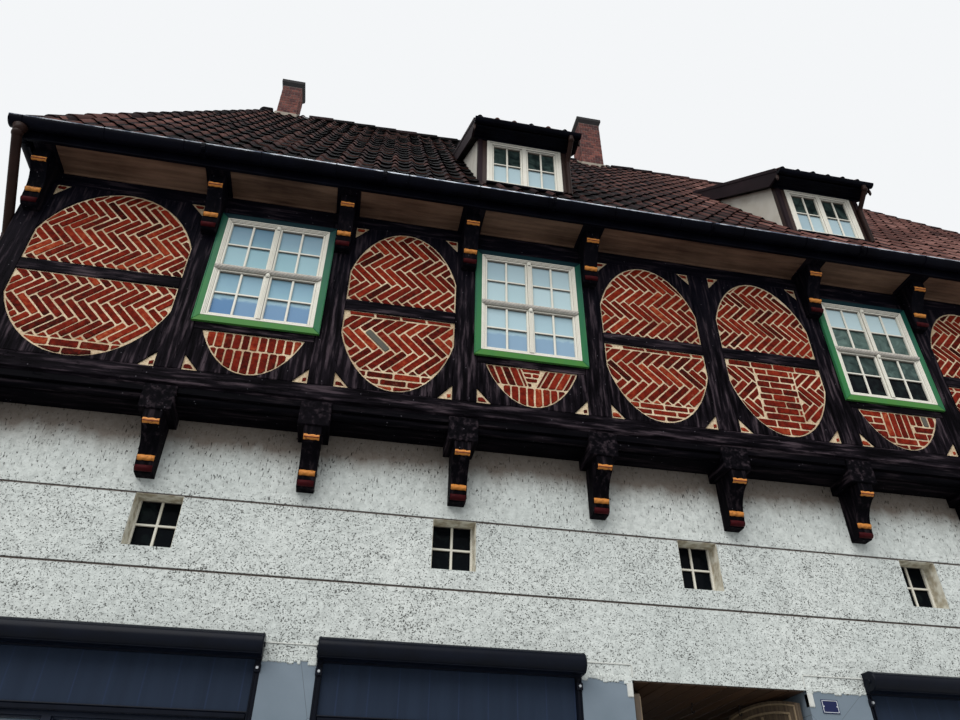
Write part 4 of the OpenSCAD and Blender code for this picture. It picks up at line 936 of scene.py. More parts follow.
for side in ("front", "right", "back", "left"):
    turn, bricks = facing(side), Shape()
    if side in ("front", "back"):
        places = [(i, (i + 0.5) * bay, bay_clear) for i in range(-4, 4)]
        end_mid = (4 * bay + end_post) / 2
        places = [(-5, -end_mid, end_clear)] + places + [(4, end_mid, end_clear)]
    else:
        clear = (2 * (-front_y - 0.2) - 4 * 0.23) / 5
        places = [(i, (i - 2) * (clear + 0.23), clear) for i in range(5)]
    for i, x, clear in places:
        edge = clear / 2 - 0.012
        corners = [[(s * edge, z), (s * (edge - 0.092), z), (s * edge, z + (0.105 if z < 1 else -0.105))]
                   for s in (-1, 1) for z in (0.014, panel_h - 0.014)]
        walls = [((edge, 0), (edge, 1)), ((-edge, 1), (-edge, 0))]
        if side in ("front", "back") and i in (-4, -2, 1, 3):
            ring = oval(clear / 2 + 0.012 - 0.014, panel_h / 2 - 0.026, panel_h / 2)
            ring = cut(ring, [((1, window_sill - 0.010), (0, window_sill - 0.010))])
            rows = under_windows.get(i, upright_rows) if side == "front" else upright_rows
            lay(ring, rows, turn, x, panel_z)
            corners = [c for c in corners if c[0][1] < 1]
        else:
            ring = cut(oval(1.09 * clear / 2 - 0.014, panel_h / 2 - 0.026, panel_h / 2), walls)
            lower, upper = panels.get(i, usual) if side == "front" else usual
            lay(cut(ring, [((1, rail_low - 0.009), (0, rail_low - 0.009))]), lower, turn, x, panel_z)
            lay(cut(ring, [((0, rail_high + 0.009), (1, rail_high + 0.009))]), upper, turn, x, panel_z)
        for corner in corners:
            if area(corner) < 0:
                corner = corner[::-1]
            low = min(p[1] for p in corner)
            lay(corner, [whole("flat", low - 0.002, low + 0.12, corner[0][0] - 0.04)], turn, x, panel_z)
    bricks.piece(side + "_herringbone_bricks", red_brick, "red_brick")

# Windows of the upper storey: painted wood, fixed frames with four sashes of
# four panes, a twisted cable as the transom and a ribbed rod on the mullion.
# The gloss paint is creamy with age and a little dirty; painted shade darkens it in corners and crevices and
# turns it brown underneath.
window_white, add, place = new_material("aged_white_gloss_paint", "#ece7d8", 0.45, Specular_IOR_Level=0.2)
dirt = add("TexNoise", {"Vector": place, "Scale": waves(111), "Detail": 7.0, "Roughness": 0.65})
# Painted shade in corners and crevices, from ambient occlusion, patchy with the dirt
crevice_shade = add("AmbientOcclusion", {"Distance": 0.03}, out=1, samples=4)
crevice_shade = add("MapRange", (crevice_shade, 0.30, 0.75, 1.1, 0.0))
corner_shade_and_dirt = add("Math", (crevice_shade, dirt), operation="MULTIPLY")
colour = add("Mix", {0: dirt, 6: "#dcd6c5", 7: "#f6f2e5"}, **by_colour)
colour = add("Mix", {0: corner_shade_and_dirt, 6: colour, 7: "#4c443a"}, **by_colour)
# Painted shade on faces that look down: they turn brown
below = add("SeparateXYZ", {0: add("NewGeometry", out=3)}, 2)
below = add("MapRange", {0: below, 1: -0.4, 2: -0.9, 4: 0.92})
add("Mix", {0: below, 6: colour, 7: "#4d3f36"}, **by_colour, to="Base Color")
add("Bump", {"Height": dirt, "Strength": 0.1, "Distance": 0.002}, to="Normal")
cable_paint, add, place = new_material("dusty_white_cable_paint", "#b4aea8", 0.6, Specular_IOR_Level=0.2)
dust = add("TexNoise", {"Vector": place, "Scale": waves(33.3), "Detail": 5.0})
colour = add("Mix", {0: dust, 6: "#a0978c", 7: "#dcd6cb"}, **by_colour)
# Painted shade in the grooves between the strands of the cable
strand_groove_shade = add("AmbientOcclusion", {"Distance": 0.012}, out=1, samples=4)
strand_groove_shade = add("MapRange", (strand_groove_shade, 0.45, 0.8, 0.9, 0.0))
add("Mix", {0: strand_groove_shade, 6: colour, 7: "#4b423a"}, **by_colour, to="Base Color")
add("Bump", {"Height": dust, "Strength": 0.2, "Distance": 0.002}, to="Normal")

# Boards round each window, mitred at the corners, in green gloss paint whose own
# tone varies a little, with light and shade painted in: grass green on the foot
# board, which faces the sky, through sea green to dark teal towards the head, in
# the shade of the eaves.
green_paint, add, place = new_material("green_gloss_paint", "#2f6d4e", 0.4, Specular_IOR_Level=0.12)
own = add("Attribute", out=2, attribute_name="tone")
axes = add("SeparateXYZ", {0: place}).node.outputs
drawn = add("Mapping", {"Vector": place, "Scale": waves(71.4, 71.4, 330)})
streak = add("TexNoise", {"Vector": drawn, "Scale": 1.0, "Detail": 5.0})
mixed = add("Math", (streak, 0.5), operation="SUBTRACT")
mixed = add("Math", (add("Math", (mixed, 0.35), operation="MULTIPLY"), own), operation="ADD")
# Painted shade: the green darkens towards the eaves
high = add("MapRange", (axes["Z"], 6.2, 7.2, 0.0, 0.28))
mixed = add("Math", (mixed, high), operation="SUBTRACT")
add("ValToRGB", {0: mixed}, stops=((0.02, "#0b2a30"), (0.25, "#154245"), (0.5, "#276349"), (0.75, "#377a42"),
                                   (0.95, "#487f39")), to="Base Color")
add("Bump", {"Height": streak, "Strength": 0.15, "Distance": 0.002}, to="Normal")
use(green_paint, "window_surrounds")

# Panes: thin hand-drawn glass, bowed a little. What it mirrors is painted into
# its colour: a painted reflection of the sky in light blue bands by height in
# most panes, and the painted darkness of the unlit room behind in the rest.
drawn_glass, add, place = new_material("hand_drawn_glass", "#8fb3d3", 0.08, Specular_IOR_Level=0.03)
axes = add("SeparateXYZ", {0: place}).node.outputs
own = add("Attribute", out=2, attribute_name="tone")
wave = add("TexNoise", {"Vector": place, "Scale": waves(143), "Detail": 4.0, "Distortion": 1.4})
wave = add("Math", (wave, 0.5), operation="SUBTRACT")
# Painted reflection of the sky: light blue bands by height, bent where the glass bows
level = add("MapRange", (axes["Z"], 5.9, 7.2))
level = add("Math", (level, add("Math", (wave, 0.06), operation="MULTIPLY")), operation="ADD")
painted_sky_reflection = add("ValToRGB", {0: level}, stops=((0.0, "#3c6fa4"), (0.175, "#4577a8"), (0.195, "#8fb2c2"),
                                         (0.23, "#92b8c6"), (0.39, "#7599ad"), (0.50, "#94bdc5"),
                                         (0.70, "#87aeba"), (0.80, "#7296aa"), (1.0, "#5c7d95")))
paler = add("MapRange", (own, 0.5, 1.0))
painted_sky_reflection = add("Mix", {0: paler, 6: painted_sky_reflection, 7: "#c6dbde"}, **by_colour)
# Painted darkness of the unlit room, in panes that show no reflection
mixed = add("Math", (add("Math", (wave, 0.45), operation="MULTIPLY"), own), operation="ADD")
room = add("ValToRGB", {0: mixed}, stops=((0.03, "#0b0e12"), (0.15, "#1b2424"), (0.30, "#40504c"),
                                          (0.49, "#6f857d")))
shows_sky_reflection = add("Math", (own, 0.495), operation="GREATER_THAN")
add("Mix", {0: shows_sky_reflection, 6: room, 7: painted_sky_reflection}, **by_colour, to="Base Color")
bow = add("TexNoise", {"Vector": place, "Scale": waves(143), "Detail": 1.0})
add("Bump", {"Height": bow, "Strength": 0.12, "Distance": 0.01}, to="Normal")
use(drawn_glass, "window_glass")

win_low, win_tall, lining, lining_h = 0.545, 1.36, 0.030, 0.052
frame_w, mullion_w, foot_w, stile, bar = 0.038, 0.034, 0.029, 0.020, 0.022
transom_z, transom_w = 1.203, 0.056
boards_green, wood, ropes, panes = Shape(), Shape(), Shape(), Shape()


def picture_frame(x0, z0, x1, z1, wide, front, back, turn, edge=0.003, foot=None):
    """Four bars round an opening, the uprights running through."""
    for xa, za, xb, zb in ((x0, z0, x0 + wide, z1), (x1 - wide, z0, x1, z1),
                           (x0 + wide, z0, x1 - wide, z0 + (foot or wide)),
                           (x0 + wide, z1 - wide, x1 - wide, z1)):
        wood.put(block((xa, front, za), (xb, back, zb), edge), 0.5, turn)


def glaze(x0, z0, w, h, turn, front, tones):
    """A sash of two by two panes: stiles, bars, putty slopes and bowed panes. The tones go up the rows."""
    picture_frame(x0, z0, x0 + w, z0 + h, stile, front, front + 0.033, turn, 0.004)
    picture_frame(x0 + stile - 0.006, z0 + stile - 0.006, x0 + w - stile + 0.006, z0 + h - stile + 0.006, 0.009,
                  front + 0.008, front + 0.03, turn, 0.003)
    pw, ph = (w - 2 * stile - bar) / 2, (h - 2 * stile - bar) / 2
    wood.put(block((x0 + w / 2 - bar / 2, front + 0.008, z0 + stile), (x0 + w / 2 + bar / 2, front + 0.028,
                   z0 + h - stile), 0.007), 0.5, turn)
    wood.put(block((x0 + stile, front + 0.009, z0 + h / 2 - bar / 2), (x0 + w - stile, front + 0.028,
                   z0 + h / 2 + bar / 2), 0.007), 0.5, turn)
    for c in (0, 1):
        for r in (0, 1):
            px, pz = x0 + stile + c * (pw + bar), z0 + stile + r * (ph + bar)
            tone = tones[r] + (random.uniform(-0.03, 0.03) if tones[r] < 0.5 else random.uniform(0.0, 0.12))
            lean = Matrix.Rotation(random.uniform(-0.010, 0.010), 4, "X")
            mid = Matrix.Translation((px + pw / 2, front + 0.031, pz + ph / 2))
            u, v = pw / 2 + 0.004, ph / 2 + 0.004
            panes.put(block((-u, -0.002, -v), (u, 0.002, v), 0.0008), max(0.0, tone), turn @ mid @ lean)


for side in ("front", "back"):
    turn = facing(side)
    for i in (-4, -2, 1, 3):
        x, z = (i + 0.5) * bay, panel_z + win_low
        half = bay_clear / 2 + 0.036
        inner, d = bay_clear / 2 - lining, lining_h
        low, high = -0.012, win_tall + 0.01
        # Each board's tone paints its light: the foot board lightest, the sides between, the head darkest
        for tone, corners in ((0.95, [(-half, low), (half, low), (inner, d), (-inner, d)]),
                              (0.62, [(half, low), (half, high), (inner, win_tall - d), (inner, d)]),
                              (0.24, [(half, high), (-half, high), (-inner, win_tall - d),
                                      (inner, win_tall - d)]),
                              (0.70, [(-half, high), (-half, low), (-inner, d), (-inner, win_tall - d)])):
            outline = [(x + px * 0.9995, z + pz) for px, pz in corners]
            boards_green.put(slab(outline, -0.029, -0.001, 0.004), tone + random.uniform(-0.03, 0.03), turn)
        # Thin raised bead along the outer edge of the boards
        for xb in (x - half + 0.008, x + half - 0.008):
            boards_green.put(rod((xb, -0.028, z), (xb, -0.028, z + win_tall), [0.005, 0.005], 8), 0.62, turn)
        z0, z1 = z + d, z + win_tall - d
        middle = panel_z + transom_z
        # Stepped frame: three flat faces, each a little further in
        for into, rise, wide, front, foot in ((0.0, 0.0, 0.015, -0.031, 0.012),
                                              (0.013, 0.010, 0.014, -0.025, 0.011),
                                              (0.025, 0.019, 0.013, -0.019, 0.011)):
            picture_frame(x - inner + into, z0 + rise, x + inner - into, z1 - into, wide, front, 0.02, turn,
                          0.003, foot)
        sash_w = (2 * inner - 2 * frame_w - mullion_w) / 2
        below, above = middle - transom_w / 2, middle + transom_w / 2
        wood.put(block((x - mullion_w / 2, -0.022, z0 + 0.02), (x + mullion_w / 2, 0.02, z1 - 0.03), 0.003),
                 0.5, turn)
        wood.put(block((x - inner + 0.02, -0.018, below), (x + inner - 0.02, 0.02, above), 0.003), 0.5, turn)
        mood = {-4: ((0.52, 0.52), (0.56, 0.50)), -2: ((0.62, 0.74), (0.84, 0.80)),
                1: ((0.05, 0.30), (0.36, 0.96)), 3: ((0.50, 0.56), (0.62, 0.56))}[i]
        for xs in (x - inner + frame_w, x + mullion_w / 2):
            glaze(xs, z0 + foot_w, sash_w, below - z0 - foot_w, turn, -0.014, mood[0])
            glaze(xs, above, sash_w, z1 - frame_w - above, turn, -0.014, mood[1])
        # Three ribs on the mullion, with a knob at the head of each length
        for k in (-0.012, 0.0, 0.012):
            for a, b in ((z0 + foot_w, below - 0.004), (above, z1 - frame_w)):
                wood.put(rod((x + k, -0.023, a), (x + k, -0.023, b), [0.007, 0.007], 8), 0.5, turn)
        for z_knob in (below - 0.004, z1 - frame_w - 0.004):
            wood.put(rod((x, -0.026, z_knob - 0.035), (x, -0.026, z_knob + 0.012), [0.015, 0.022, 0.023, 0.014],
                         12), 0.5, turn)
        ropes.put(rope(x - inner + 0.004, x + inner - 0.004, -0.020, middle, 0.030, 5, 0.036, 0.009, 24, 0.005),
                  0.5, turn)
# Dormer windows, in a white casing of two steps with a post in the middle
dormer_mid, dormer_z, dormer_sill = (-1.9575, 1.9575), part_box("dormer_roofs")[0].z, 8.300
turn, z0, z1 = facing("front"), dormer_sill, dormer_z - 0.017
casing, casing_half, post_half = 0.065, 0.46, 0.025
for x in dormer_mid:
    for into, wide, front in ((0.0, 0.034, -0.012), (0.03, 0.036, -0.006)):
        picture_frame(x - casing_half + into, z0 + into, x + casing_half - into, z1 - into, wide, front, 0.03,
                      turn)
    wood.put(block((x - post_half, -0.008, z0 + 0.03), (x + post_half, 0.03, z1 - 0.03), 0.004), 0.5, turn)
    for xs in (x - casing_half + casing, x + post_half):
        glaze(xs, z0 + casing, casing_half - casing - post_half, z1 - z0 - 2 * casing, turn, 0.001,
              (0.80, 0.22))
# Small windows of the low upper room, set back in the wall, and their reveals
reveals = Shape()
small_mid, small_half, small_low, small_top = (-5.065, -2.610, -0.370, 1.870, 4.325), 0.189, 3.829, 4.272
for side in ("front", "back"):
    for x in small_mid:
        x = x if side == "front" else -x
        glaze(x - 0.19, small_low, 0.38, 0.465, facing(side), 0.49, (0.0, 0.0))
        for xa, za, xb in ((-small_half, small_low, 0.003 - small_half),
                           (small_half - 0.003, small_low, small_half),
                           (-small_half, small_top - 0.003, small_half)):
            reveals.put(block((x + xa, 0.345, za), (x + xb, 0.49, small_top), 0.001), 0.5, facing(side))
reveal_plaster = clouded("cream_reveal_plaster", "#ddd6c2", 0.85, 71.4, 6.0, "#e9e4d3", "#b8ac93",
                         relief=(0.3, 0.003), between=(0.4, 0.62))
reveals.piece("small_window_reveals", reveal_plaster, "roughcast")
boards_green.piece("mitred_window_boards", green_paint, "green_paint")
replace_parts(wood.piece("moulded_window_frames", window_white, "white_paint"), "window_frames")
ropes.piece("rope_transoms", cable_paint, "white_paint", smooth=True)
panes.piece("drawn_panes", drawn_glass, "window_glass")

# Soffit between the tie beams: matched boards painted beige-brown, with darker
# streaks along the house and a cover strip where they meet the wall plate.
soffit_paint, add, place = new_material("beige_brown_soffit_paint", "#5f4739", 0.65, Specular_IOR_Level=0.2)
axes = add("SeparateXYZ", {0: place}).node.outputs
drawn = add("Mapping", {"Vector": place, "Scale": waves(620, 71.4, 71.4)})
streak = add("TexNoise", {"Vector": drawn, "Scale": 1.0, "Detail": 7.0, "Roughness": 0.6})
stain = add("TexNoise", {"Vector": place, "Scale": waves(710), "Detail": 6.0})
mixed = add("Math", (add("Math", (streak, stain), operation="ADD"), 0.5), operation="MULTIPLY")
add("Mix", {0: add("MapRange", (mixed, 0.36, 0.64)), 6: "#3f2b20", 7: "#826552"}, **by_colour, to="Base Color")
add("Bump", {"Height": streak, "Strength": 0.25, "Distance": 0.002}, to="Normal")
use(soffit_paint, "soffit_boards")
edges = [x for p in post_x if abs(p) > 0.1 for x in (p - beam_half, p + beam_half)]
edges = [2 * beam_half - end_x] + edges + [end_x - 2 * beam_half]
lining_boards, lining_rows = Shape(), ((-0.366, -0.245), (-0.242, -0.121), (-0.118, -0.004))
for side in ("front", "back"):
    for x0, x1 in zip(edges[0::2], edges[1::2]):
        for y0, y1 in lining_rows:
            lining_boards.put(block((x0 + 0.002, y0, plate_top + 0.004), (x1 - 0.002, y1, plate_top + 0.014),
                                    0.004), random.random(), facing(side))
        lining_boards.put(block((x0 + 0.002, -0.024, plate_top - 0.012), (x1 - 0.002, 0.0, plate_top + 0.012),
                                0.006), 0.3, facing(side))
lining_boards.piece("soffit_lining", soffit_paint, "brown_wood")

# Fascia and gutters: the boards and the zinc gutters are painted the same
# very dark navy. Gutters hang in round hooks, with a rolled rim of pale zinc
# that is a painted highlight, and a collar at each joint.
navy_paint = clouded("dark_navy_oil_paint", "#07080f", 0.5, 286, 6.0, "#020207", "#0b0c15", sheen=(0.34, 0.56),
                     between=(0.35, 0.7), uneven=0.6, Specular_IOR_Level=0.03)
use(navy_paint, "fascia_boards", "gutters")
# Painted highlight: the pale rim draws the line of light along each gutter
painted_rim_highlight = clouded("zinc_rim_painted_highlight", "#9aa2ab", 0.35, 111, 5.0, "#5a6272", "#c9ced4", between=(0.4, 0.6),
                    Metallic=0.85)
fittings, rims = Shape(), Shape()
gutter_half, gutter_y, gutter_z, gutter_r = (7.150, 3.933), (-0.470, -0.085), (7.600, 7.575), (0.075, 0.060)


def under_gutter(y, z, r, n):
    """Points across the underside of a half-round gutter."""
    angles = [math.pi * i / n for i in range(n + 1)]
    return [(y + r * math.cos(math.pi + a), z + r * math.sin(math.pi + a)) for a in angles]


for side in ("front", "back", "right", "left"):
    turn, short = facing(side), side in ("right", "left")
    half, y, z, r = gutter_half[short], gutter_y[short], gutter_z[short], gutter_r[short]
    rims.put(rod((-half, y - r + 0.002, z + 0.001), (half, y - r + 0.002, z + 0.001), [0.007, 0.007], 10), 0.5,
             turn)
    # Collars where two lengths of gutter meet, then the hooks that carry them
    count = round(2 * half / 1.9)
    for k in range(1, count):
        x = -half + 2 * half * k / count
        arc = under_gutter(y, z, r + 0.004, 14)
        for (ya, za), (yb, zb) in zip(arc, arc[1:]):
            fittings.put(block((x - 0.02, min(ya, yb) - 0.002, min(za, zb) - 0.002),
                               (x + 0.02, max(ya, yb) + 0.002, max(za, zb) + 0.002), 0.001), 0.5, turn)
    count = round(2 * half / 0.75)
    for k in range(count + 1):
        x = -half + 0.12 + (2 * half - 0.24) * k / count
        arc = under_gutter(y, z, r + 0.003, 10)
        for (ya, za), (yb, zb) in zip(arc, arc[1:]):
            fittings.put(rod((x, ya, za), (x, yb, zb), [0.0055, 0.0055], 6), 0.5, turn)
fittings.piece("gutter_hooks_and_collars", navy_paint, "gutter_metal")
rims.piece("gutter_rims", painted_rim_highlight, "gutter_metal", smooth=True)
strips = Shape()
fascia_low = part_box("fascia_boards")[0].z
for side in ("front", "back"):
    for x in [-end_x + beam_half] + post_x + [end_x - beam_half]:
        strips.put(block((x - 0.016, -0.401, fascia_low + 0.004), (x + 0.016, -0.393, fascia_low + 0.13),
                         0.003), 0.5, facing(side))
    strips.put(block((-end_x, -0.403, fascia_low - 0.006), (end_x, -0.366, fascia_low + 0.012), 0.005), 0.5,
               facing(side))
strips.piece("fascia_strips", navy_paint, "gutter_metal")

# Downpipes: zinc under brown oil paint, faded in clouds. Each length ends in a
# wider socket, and a larger one takes the outlet under the eaves.
brown_pipe = clouded("brown_pipe_paint", "#1f1412", 0.5, 200, 6.0, "#150d0c", "#33221d",
                     Specular_IOR_Level=0.06)
use(brown_pipe, "downpipes")
sockets = Shape()
pipe_x, pipe_y, socket_foot = 7.038, front_y + 0.14, (0.9, 2.4, 4.4, 5.9)
for x in (-pipe_x, pipe_x):
    for z in socket_foot:
        sockets.put(rod((x, pipe_y, z), (x, pipe_y, z + 0.07), [0.045, 0.051, 0.051, 0.045], 24))
    sockets.put(rod((x, front_y + gutter_y[0], 7.43), (x, front_y + gutter_y[0], 7.515), [0.048, 0.054, 0.068],
                    24))
sockets.piece("pipe_sockets", brown_pipe, "brown_metal", smooth=True)

# Pantiles on the long slopes and on the steep hips: fired clay, now nearly
# black-brown with soot and lichen, redder near the right end of the eaves.
# Each tile rolls over its neighbour and laps the course below by 50 mm.
pantile, add, place = new_material("sooted_clay_pantile", "#261c1b", 0.7, Specular_IOR_Level=0.02)
axes = add("SeparateXYZ", {0: place}).node.outputs
own = add("Attribute", out=2, attribute_name="tone")
soot = add("TexNoise", {"Vector": place, "Scale": waves(910), "Detail": 7.0, "Roughness": 0.62})
speck = add("TexNoise", {"Vector": place, "Scale": waves(23.8), "Detail": 5.0})
mixed = add("Math", (add("Math", (soot, 0.5), operation="SUBTRACT"), 0.9), operation="MULTIPLY")
mixed = add("Math", (mixed, own), operation="ADD")
# Blackest left of the middle, redder towards both ends
blackest_x = -2.7
away = add("Math", (add("Math", (axes["X"], -blackest_x), operation="ADD"),), operation="ABSOLUTE")
away = add("MapRange", (away, 1.0, 4.6, -0.20, 0.10))
mixed = add("Math", (mixed, away), operation="ADD")
colour = add("ValToRGB", {0: mixed}, stops=((0.12, "#040304"), (0.34, "#131012"), (0.52, "#271c1d"),
                                            (0.70, "#4a322e"), (0.84, "#5f403a"), (1.0, "#86625a")))
lichen = add("MapRange", {0: speck, 1: 0.66, 2: 0.76, 4: 0.3})
add("Mix", {0: lichen, 6: colour, 7: "#85827a"}, **by_colour, to="Base Color")
add("Bump", {"Height": speck, "Strength": 0.4, "Distance": 0.002}, to="Normal")
add("MapRange", {0: speck, 3: 0.5, 4: 0.8}, to="Roughness")
use(pantile, "roof_front", "roof_back", "roof_hips", "dormer_roofs")

roll_line = ((-0.024, 0.008), (-0.013, 0.023), (0.003, 0.033), (0.020, 0.033), (0.037, 0.021), (0.052, 0.009),
             (0.078, 0.002), (0.115, 0.0), (0.150, 0.004), (0.176, 0.013))


def pantile_part(cover, gauge):
    """One tile as its tail, its roll and its pan, from the tail at v = 0 up under the next course."""
    k = cover / tile_cover
    head = gauge + 0.05
    points = [(u * k, 0, h + 0.020) for u, h in roll_line]
    points += [(u * k, 0, h + 0.034) for u, h in roll_line]
    points += [(u * k, head / 2, h + 0.024) for u, h in roll_line]
    points += [(u * k, head, h + 0.012) for u, h in roll_line]
    n = len(roll_line)
    rows = [[[row * n + i, row * n + i + 1, (row + 1) * n + i + 1, (row + 1) * n + i] for i in range(n - 1)]
            for row in range(3)]
    return (points[:2 * n], rows[0]), (points, rows[1][:5] + rows[2][:5]), (points, rows[1][5:] + rows[2][5:])


def tiled(shape, start, along, up_slope, wide, tall, cover, gauge, tones, skip):
    """Courses of tiles over a slope from its lower left corner, tails overhanging by 45 mm; light and shade
    are painted into the tones: rolls paler as lit, pans and tails darker as shaded, some tails pale as glints."""
    out = along.cross(up_slope)
    tail, roll, pan = pantile_part(cover, gauge)
    lay_on = Matrix((along, up_slope, out)).transposed().to_4x4()
    for row in range(math.ceil((tall + 0.045) / gauge)):
        drift = random.uniform(-0.006, 0.006)
        for k in range(math.ceil(wide / cover)):
            u, v = k * cover + 0.024 + drift, row * gauge - 0.045
            here = start + u * along + v * up_slope
            if skip(start + (u + cover / 2) * along + (v + gauge / 2) * up_slope):
                continue
            jog = Matrix.Translation((0, random.gauss(0, 0.0035), max(-0.002, random.gauss(0.001, 0.002))))
            tilt = (Matrix.Rotation(random.gauss(0, 0.006), 4, "Z")
                    @ Matrix.Rotation(random.gauss(0, 0.008), 4, "Y"))
            place = Matrix.Translation(here) @ lay_on @ jog @ tilt
            tone = tones(here) + random.gauss(0, 0.055)
            # Painted light on the roll, painted shade in the pan
            shape.put(roll, tone + 0.24, place)
            shape.put(pan, tone - 0.20, place)
            # Painted glints: near the blackest part some tails are pale, the rest dark as painted shade
            worn = random.random() < 0.3 and abs(here.x - blackest_x) < 2.4
            shape.put(tail, 1.1 if worn else tone - 0.4, place)


def trim(piece, planes):
    """Cuts a piece along planes and keeps what lies behind them."""
    shape = bmesh.new()
    shape.from_mesh(piece.data)
    for point, normal in planes:
        bmesh.ops.bisect_plane(shape, geom=shape.verts[:] + shape.edges[:] + shape.faces[:], plane_co=point,
                               plane_no=normal, clear_outer=True)
    shape.to_mesh(piece.data)
    shape.free()


def rounded(piece, degrees):
    """Smooth shading that stops at folds sharper than this."""
    piece.data.polygons.foreach_set("use_smooth", [True] * len(piece.data.polygons))
    piece.data.set_sharp_from_angle(angle=math.radians(degrees))


slope, eave_y, eave_z, hip_slope = 1.48256, 3.940, 7.682, 5.364
tile_cover, tile_gauge = 0.200, 0.3496
ridge_z, ridge_x = eave_z + slope * eave_y, 5.935
hip_foot_z, hip_foot_x = 7.650, 7.030
stack_mid, stack_side = (-5.570, 0.350), (0.350, 0.430)


def in_stack(p):
    return any(abs(p.x - x) < w / 2 - 0.03 and abs(p.y) < w / 2 - 0.03 for x, w in zip(stack_mid, stack_side))


def in_dormer(p):
    return any(abs(p.x - x) < 0.50 and front_y + 0.03 < p.y < -1.95 for x in dormer_mid)


# The four hips: their two signs, the ridge end, the way across, the way up and
# the way out of the long slope
hips = []
for sx, sy in product((-1, 1), repeat=2):
    ridge_end = Vector((sx * ridge_x, 0, ridge_z))
    run = ridge_end - Vector((sx * (ridge_x + (ridge_z - eave_z) / hip_slope), sy * eave_y, eave_z))
    long_out = Vector((0, sy * slope, 1)).normalized()
    across = run.cross(long_out).normalized()
    hips.append((sx, sy, ridge_end, across if across.x * sx > 0 else -across, run.normalized(), long_out))

for sy, name in ((-1, "front"), (1, "back")):
    tiles = Shape()
    along = Vector((-sy, 0, 0))
    up_slope = Vector((0, -sy, slope)).normalized()
    start = Vector((sy * 7.12, sy * eave_y, eave_z))
    tall = math.hypot(eave_y, ridge_z - eave_z)

    def tones(p):
        warm = 0.30 * max(0.0, min(1.0, (p.x - 1.5) / 4)) * max(0.0, 1 - (p.z - eave_z) / 1.6)
        return 0.47 + warm

    def skip(p):
        edge = ridge_x + (ridge_z - p.z) / hip_slope
        return abs(p.x) > edge + 0.22 or in_stack(p) or in_dormer(p)

    tiled(tiles, start, along, up_slope, 14.24, tall, tile_cover, tile_gauge, tones, skip)
    made = tiles.piece(name + "_pantiles", pantile, "pantiles")
    trim(made, [(point + 0.012 * across, across) for sx, s, point, across, run, out in hips if s == sy]
         + [(Vector((0, sy * 0.012, ridge_z)), Vector((0, -sy, 0)))])
    rounded(made, 45)

for sx, side in ((1, "right"), (-1, "left")):
    tiles = Shape()
    up_slope = Vector((-sx, 0, hip_slope)).normalized()
    along = Vector((0, sx, 0))
    start = Vector((sx * hip_foot_x, -sx * 3.95, hip_foot_z)) - 0.035 * up_slope
    tall = (ridge_z - hip_foot_z) * math.hypot(1, 1 / hip_slope)

    def skip(p):
        return abs(p.y) > (ridge_z - p.z) / slope + 0.20

    tiled(tiles, start, along, up_slope, 7.9, tall, tile_cover, tile_gauge, lambda p: 0.46, skip)
    made = tiles.piece(side + "_hip_pantiles", pantile, "pantiles")
    planes = []
    for hx, hy, point, across, run, out in hips:
        if hx == sx:
            normal = run.cross(Vector((sx * hip_slope, 0, 1))).normalized()
            normal = normal if normal.y * hy > 0 else -normal
            planes.append((point + 0.012 * normal, normal))
    trim(made, planes)
    rounded(made, 45)

# Ridge and hips: half-round clay caps, each tail lapping the next head, bedded
# in mortar. Each end of the ridge carries a round peg with a square block.
def half_round(start, end, out, radii, thick, sides=14):
    """A half-round cap from its tail to its head, open below, its tail a little wider."""
    along = (end - start).normalized()
    out = (out - out.dot(along) * along).normalized()
    across = along.cross(out)
    points = []
    for place, r in ((start, radii[0] - thick), (start, radii[0]), (end, radii[1])):
        for i in range(sides + 1):
            a = math.radians(-12 + 204 * i / sides)
            points.append(place + r * (math.cos(a) * across + math.sin(a) * out))
    n = sides + 1
    faces = [[row * n + i, row * n + i + 1, (row + 1) * n + i + 1, (row + 1) * n + i]
             for row in (0, 1) for i in range(sides)]
    return points, [face[::-1] for face in faces]


caps = Shape()
count, hip_cap_long = 30, 0.36
length = 2 * (ridge_x + 0.02) / count
for k in range(count):
    x = -ridge_x - 0.02 + k * length
    if any(abs(x + length / 2 - mid) < w / 2 + 0.05 for mid, w in zip(stack_mid, stack_side)):
        continue
    z = ridge_z - 0.062 + random.uniform(-0.004, 0.004)
    caps.put(half_round(Vector((x + length + 0.045, 0, z)), Vector((x, 0, z - 0.004)), Vector((0, 0, 1)),
                        (0.132, 0.116), 0.014), random.uniform(0.30, 0.62))
ridge_caps = caps.piece("ridge_caps", pantile, "pantiles")
rounded(ridge_caps, 40)
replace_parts(ridge_caps, "ridge_tiles")
caps = Shape()
for sx, sy, point, across, run, out in hips:
    foot = point - run * ((ridge_z - eave_z + 0.03) / run.z)
    out = (out + Vector((sx * hip_slope, 0, 1)).normalized()).normalized()
    total = (point - foot).length
    count = round(total / hip_cap_long)
    for k in range(count):
        a = foot + run * (total * k / count - 0.04) - out * 0.045
        b = foot + run * (total * (k + 1) / count) - out * 0.050
        caps.put(half_round(a, b, out, (0.112, 0.097), 0.013), random.uniform(0.28, 0.6))
hip_caps = caps.piece("hip_caps", pantile, "pantiles")
rounded(hip_caps, 40)
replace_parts(hip_caps, "hip_tiles")
cap_ends = Shape()
for s in (-1, 1):
    x = s * ridge_x
    out = x + s * 0.05
    cap_ends.put(rod((out, 0, ridge_z - 0.09), (out, 0, ridge_z + 0.105), [0.115, 0.118, 0.10, 0.05], 20), 0.15)
    cap_ends.put(block((x - 0.09, -0.07, ridge_z + 0.02), (x + 0.09, 0.07, ridge_z + 0.088), 0.012), 0.12)
rounded(cap_ends.piece("ridge_end_caps", pantile, "pantiles"), 40)

